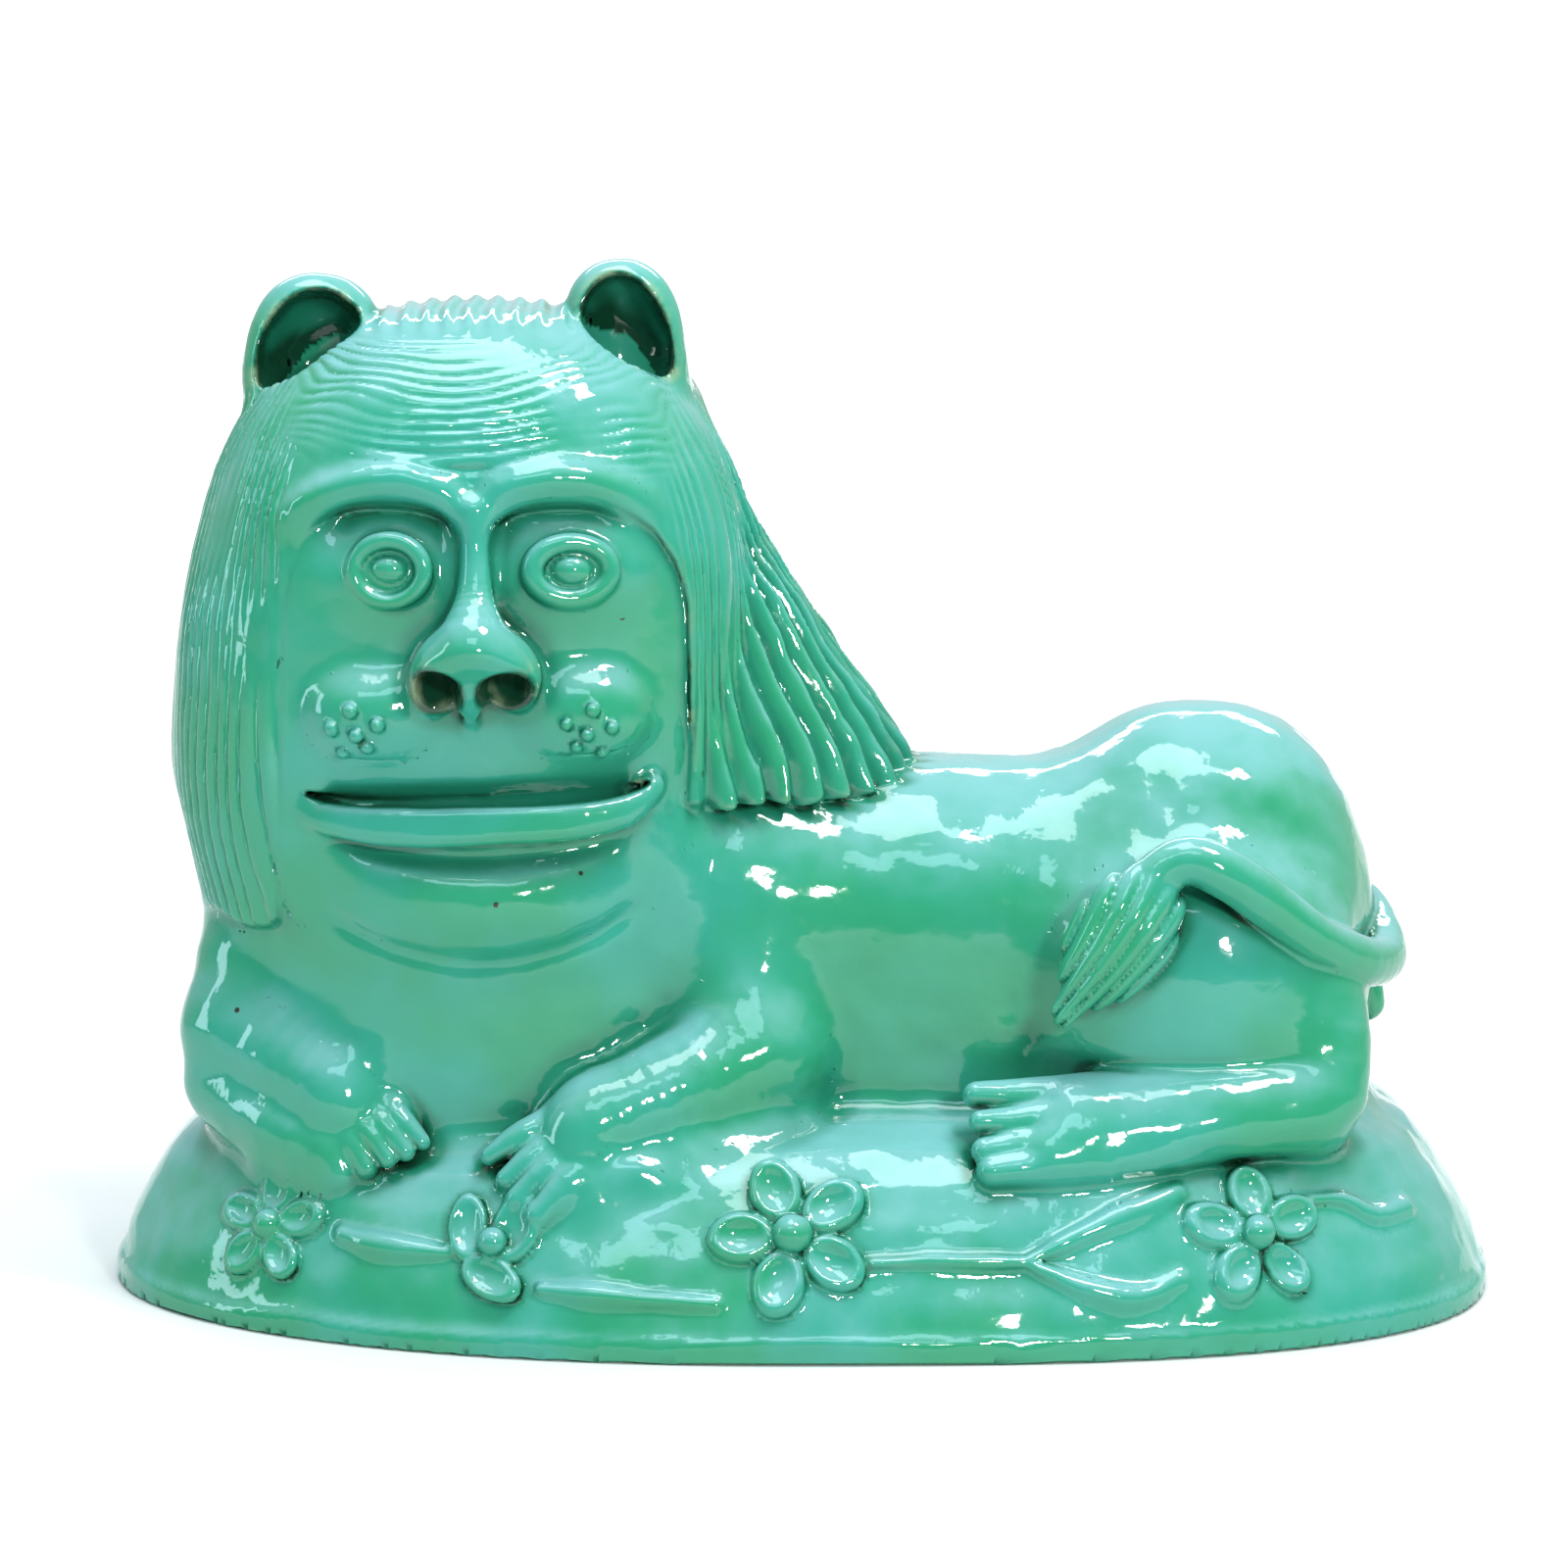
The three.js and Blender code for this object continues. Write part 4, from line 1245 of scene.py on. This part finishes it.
def add_area_light(name, place, size, power, colour, aim):
    data = bpy.data.lights.new(name, "AREA")
    data.shape = "RECTANGLE"
    data.size, data.size_y = size
    data.energy = power
    data.color = colour
    light = bpy.data.objects.new(name, data)
    light.location = place
    direction = Vector(aim or view_target) - Vector(place)
    light.rotation_euler = direction.to_track_quat("-Z", "Y").to_euler()
    scene.collection.objects.link(light)


class Nodes:
    """Builds the shader nodes of a material or a world."""

    def __init__(self, owner):
        owner.use_nodes = True
        self.tree = owner.node_tree
        self.tree.nodes.clear()

    def new(self, kind, inputs, **settings):
        """A node with these settings. An input is another node's output, or a value set on the socket."""
        node = self.tree.nodes.new("ShaderNode" + kind)
        for name, value in settings.items():
            setattr(node, name, value)
        for name, value in inputs.items():
            if isinstance(value, bpy.types.NodeSocket):
                self.tree.links.new(value, node.inputs[name])
            else:
                node.inputs[name].default_value = value
        return node

    def math(self, kind, a, b):
        return self.new("Math", {0: a, 1: b}, operation=kind).outputs[0]

    def ramp(self, value, low, high, start=0.0, end=1.0):
        limits = {"From Min": low, "From Max": high, "To Min": start, "To Max": end, "Value": value}
        return self.new("MapRange", limits, interpolation_type="SMOOTHSTEP").outputs[0]

    def noise(self, size_mm, detail=3.0):
        inputs = {"Scale": 1 / (size_mm * MM), "Detail": detail, "Roughness": 0.5, "Vector": self.place()}
        return self.new("TexNoise", inputs).outputs["Fac"]

    def mix(self, amount, a, b):
        return self.new("Mix", {"Factor": amount, "A": a, "B": b}, data_type="RGBA").outputs["Result"]

    def place(self, kind="Object"):
        return self.new("TexCoord", {}).outputs[kind]


FLOOR_GAP = 0.0001
FLOOR_HALF = 30.0


def add_floor():
    material = bpy.data.materials.new("pale_floor")
    nodes = Nodes(material)
    surface = nodes.new("BsdfPrincipled", {"Base Color": (0.72, 0.72, 0.72, 1), "Roughness": 0.9})
    nodes.new("OutputMaterial", {"Surface": surface.outputs[0]})
    mesh = bpy.data.meshes.new("floor")
    half = FLOOR_HALF
    corners = [(-half, -half), (half, -half), (half, half), (-half, half)]
    mesh.from_pydata([(x, y, -FLOOR_GAP) for x, y in corners], [], [(0, 1, 2, 3)])
    floor = bpy.data.objects.new("floor", mesh)
    floor.data.materials.append(material)
    scene.collection.objects.link(floor)


def add_world():
    """A white studio: bright behind the object and above it, dim in front."""
    scene.world = bpy.data.worlds.new("studio")
    nodes = Nodes(scene.world)
    direction = nodes.new("SeparateXYZ", {0: nodes.place("Generated")}).outputs
    strength = nodes.ramp(nodes.math("ADD", direction["Y"], direction["Z"]), -0.35, 0.7, 0.10, 0.75)
    light = nodes.new("Background", {"Color": (0.95, 0.98, 1.0, 1), "Strength": strength})
    nodes.new("OutputWorld", {"Surface": light.outputs[0]})


add_camera()
for light_name, light_settings in LIGHTS.items():
    add_area_light(light_name, *light_settings)
scene.view_settings.view_transform = "Standard"
add_world()
add_floor()

# ---- Glaze ----
GREEN = (0.028, 0.300, 0.152, 1)
BLUE_GREEN = (0.040, 0.335, 0.250, 1)
PAINTED_SKY_REFLECTION = (0.165, 0.425, 0.430, 1)  # painted reflection of the pale sky, on what faces up
POOLED_AND_SHADED = (0.014, 0.200, 0.120, 1)  # glaze pooled thicker in hollows, with painted shade there too
# painted shade, near black, deep in the ears, nostrils, mouth and creases
PAINTED_DEEP_SHADE = (0.006, 0.048, 0.024, 1)
THIN = (0.33, 0.44, 0.26, 1)  # over ridges
HOLE = (0.030, 0.032, 0.018, 1)
HOLE_SPACING = 17
HOLE_SIZE = 0.042  # as a share of their spacing


def glaze():
    material = bpy.data.materials.new("green_glaze")
    nodes = Nodes(material)
    math_node, ramp, noise, mix = nodes.math, nodes.ramp, nodes.noise, nodes.mix
    # hollow drives pooled glaze and painted shade; ridge drives where the glaze breaks thin
    marks = [nodes.new("Attribute", {}, attribute_name=name) for name in ("hollow", "ridge")]
    hollow, ridge = (mark.outputs["Fac"] for mark in marks)
    normal = nodes.new("NewGeometry", {}).outputs["Normal"]
    facing_up = nodes.new("SeparateXYZ", {0: normal}).outputs["Z"]
    colour = mix(ramp(noise(55), 0.36, 0.64), GREEN, BLUE_GREEN)
    # painted reflection of the sky: the glaze turns turquoise where the surface faces up
    painted_sky_share = math_node("ADD", facing_up, math_node("MULTIPLY", noise(14), 0.7))
    colour = mix(ramp(painted_sky_share, 0.55, 1.45), colour, PAINTED_SKY_REFLECTION)
    # glaze pooled in hollows, darkened further as painted shade where the clay is hollow
    colour = mix(ramp(hollow, 0.15, 0.60), colour, POOLED_AND_SHADED)
    # painted shade, near black, in the deepest hollows
    colour = mix(ramp(hollow, 0.58, 0.95), colour, PAINTED_DEEP_SHADE)
    breaks = math_node("MULTIPLY", ramp(ridge, 0.50, 1.0), ramp(noise(7), 0.40, 0.62))
    colour = mix(math_node("MULTIPLY", breaks, 0.6), colour, THIN)
    cells = nodes.new("TexVoronoi", {"Scale": 1 / (HOLE_SPACING * MM), "Vector": nodes.place()})
    in_hole = math_node("LESS_THAN", cells.outputs["Distance"], HOLE_SIZE)
    few = math_node("GREATER_THAN", noise(31), 0.60)
    colour = mix(math_node("MULTIPLY", in_hole, few), colour, HOLE)
    height = math_node("ADD", noise(13, 2.0), math_node("MULTIPLY", noise(4.5, 2.0), 0.28))
    bump = nodes.new("Bump", {"Strength": 0.45, "Distance": 0.0009, "Height": height})
    looks = {"Base Color": colour, "Roughness": 0.07, "IOR": 1.56, "Normal": bump.outputs[0]}
    nodes.new("OutputMaterial", {"Surface": nodes.new("BsdfPrincipled", looks).outputs[0]})
    return material


# ---- Pieces ----
# how far out the clay is felt for, and what each counts
HOLLOW_SHARES = ((1.6, 0.45), (5.0, 0.4), (13.0, 0.3))
RIDGE_REACHES = (1.6, 4.0)
BELOW, ABOVE = 4.0, 6.0  # how far the grid reaches past the CAD


def surface_marks(points, normals):
    """How hollow and how ridged the clay is round each place, from 0 to 1."""
    hollow, ridge = np.zeros(len(points)), np.zeros(len(points))
    for reach, share in HOLLOW_SHARES:
        outside, _ = sculpt_in_parts(points + normals * reach)
        hollow += share * np.clip(1 - outside / reach, 0, 1)
    for reach in RIDGE_REACHES:
        inside, owner = sculpt_in_parts(points - normals * reach)
        ridge += 0.5 * np.clip(1 + inside / reach, 0, 1)
    # The ears' dishes and the nostrils count as hollow as well, so that the glaze paints shade inside
    # them.
    for node in EARS:
        hollow += (owner == PIECE[node]) * smoothstep(1.8, -0.4, ear_dish(ear_frame(points, node), node))
    hollow += smoothstep(3.0, 0.4, nostrils(points))
    return np.minimum(hollow, 1), ridge


def read(items, name, kind, size=1):
    values = np.zeros(len(items) * size, kind)
    items.foreach_get(name, values)
    return values


def give_normals(mesh, normals):
    """The clay's own normals on the outside, and flat normals where a piece meets its neighbour."""
    outside = read(mesh.attributes["outside"].data, "value", bool)
    flat = read(mesh.polygons, "normal", np.float32, 3)
    sizes = read(mesh.polygons, "loop_total", np.int32)
    corner = read(mesh.loops, "vertex_index", np.int32)
    by_face = np.repeat(flat.reshape(-1, 3), sizes, 0)
    mesh.normals_split_custom_set(np.where(np.repeat(outside, sizes)[:, None], normals[corner], by_face))


def add_piece(name, quads, triangles, clay, material):
    vertices, normals, marks = clay
    faces, tops = [], []
    for corners, sides in (quads, triangles):
        for column, order in ((0, slice(None)), (1, slice(None, None, -1))):
            mine = sides[:, column] == PIECE[name]
            faces.append(corners[mine][:, order])
            tops.append(sides[mine, 1 - column] == 0)
    loops = np.concatenate([f.ravel() for f in faces])
    sizes = np.concatenate([np.full(len(f), f.shape[1]) for f in faces])
    used, local = np.unique(loops, return_inverse=True)
    mesh = bpy.data.meshes.new(name)
    mesh.vertices.add(len(used))
    mesh.vertices.foreach_set("co", (vertices[used] * MM).astype(np.float32).ravel())
    mesh.loops.add(len(loops))
    mesh.loops.foreach_set("vertex_index", local.ravel().astype(np.int32))
    mesh.polygons.add(len(sizes))
    starts = np.concatenate([[0], np.cumsum(sizes)[:-1]])
    mesh.polygons.foreach_set("loop_start", starts.astype(np.int32))
    mesh.attributes.new("outside", "BOOLEAN", "FACE").data.foreach_set("value", np.concatenate(tops))
    mesh.update(calc_edges=True)
    mesh.validate()
    mesh.shade_smooth()
    give_normals(mesh, normals[used])
    mesh.attributes.remove(mesh.attributes["outside"])
    for key, values in marks.items():
        attribute = mesh.attributes.new(key, "FLOAT", "POINT")
        attribute.data.foreach_set("value", values[used].astype(np.float32))
    mesh.materials.append(material)
    piece = bpy.data.objects.new(name + "_clay", mesh)
    scene.collection.objects.link(piece)
    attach(piece, "root")
    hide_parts(name)


def make_pieces():
    low, high = np.array(cad_bounds) / MM + [[-BELOW], [ABOVE]]
    counts = (np.ceil((high - low) / VOXEL / BLOCK) * BLOCK).astype(int)
    field, names = sample_grid(low, counts)
    vertices, faces, sides, on_surface = surface_nets(low, field, names)
    vertices, faces, on_surface = thin_out(vertices, faces, sides, on_surface)
    quads, triangles = clean_polygons(faces, sides)
    vertices, normals = settle(vertices, on_surface)
    hollow, ridge = np.zeros(len(vertices)), np.zeros(len(vertices))
    hollow[on_surface], ridge[on_surface] = surface_marks(vertices[on_surface], normals[on_surface])
    clay = (vertices, normals, {"hollow": hollow, "ridge": ridge})
    material = glaze()
    for name in sorted(PIECE):
        add_piece(name, quads, triangles, clay, material)
    print("faces", len(quads[0]), len(triangles[0]))


make_pieces()

bpy.context.view_layer.update()
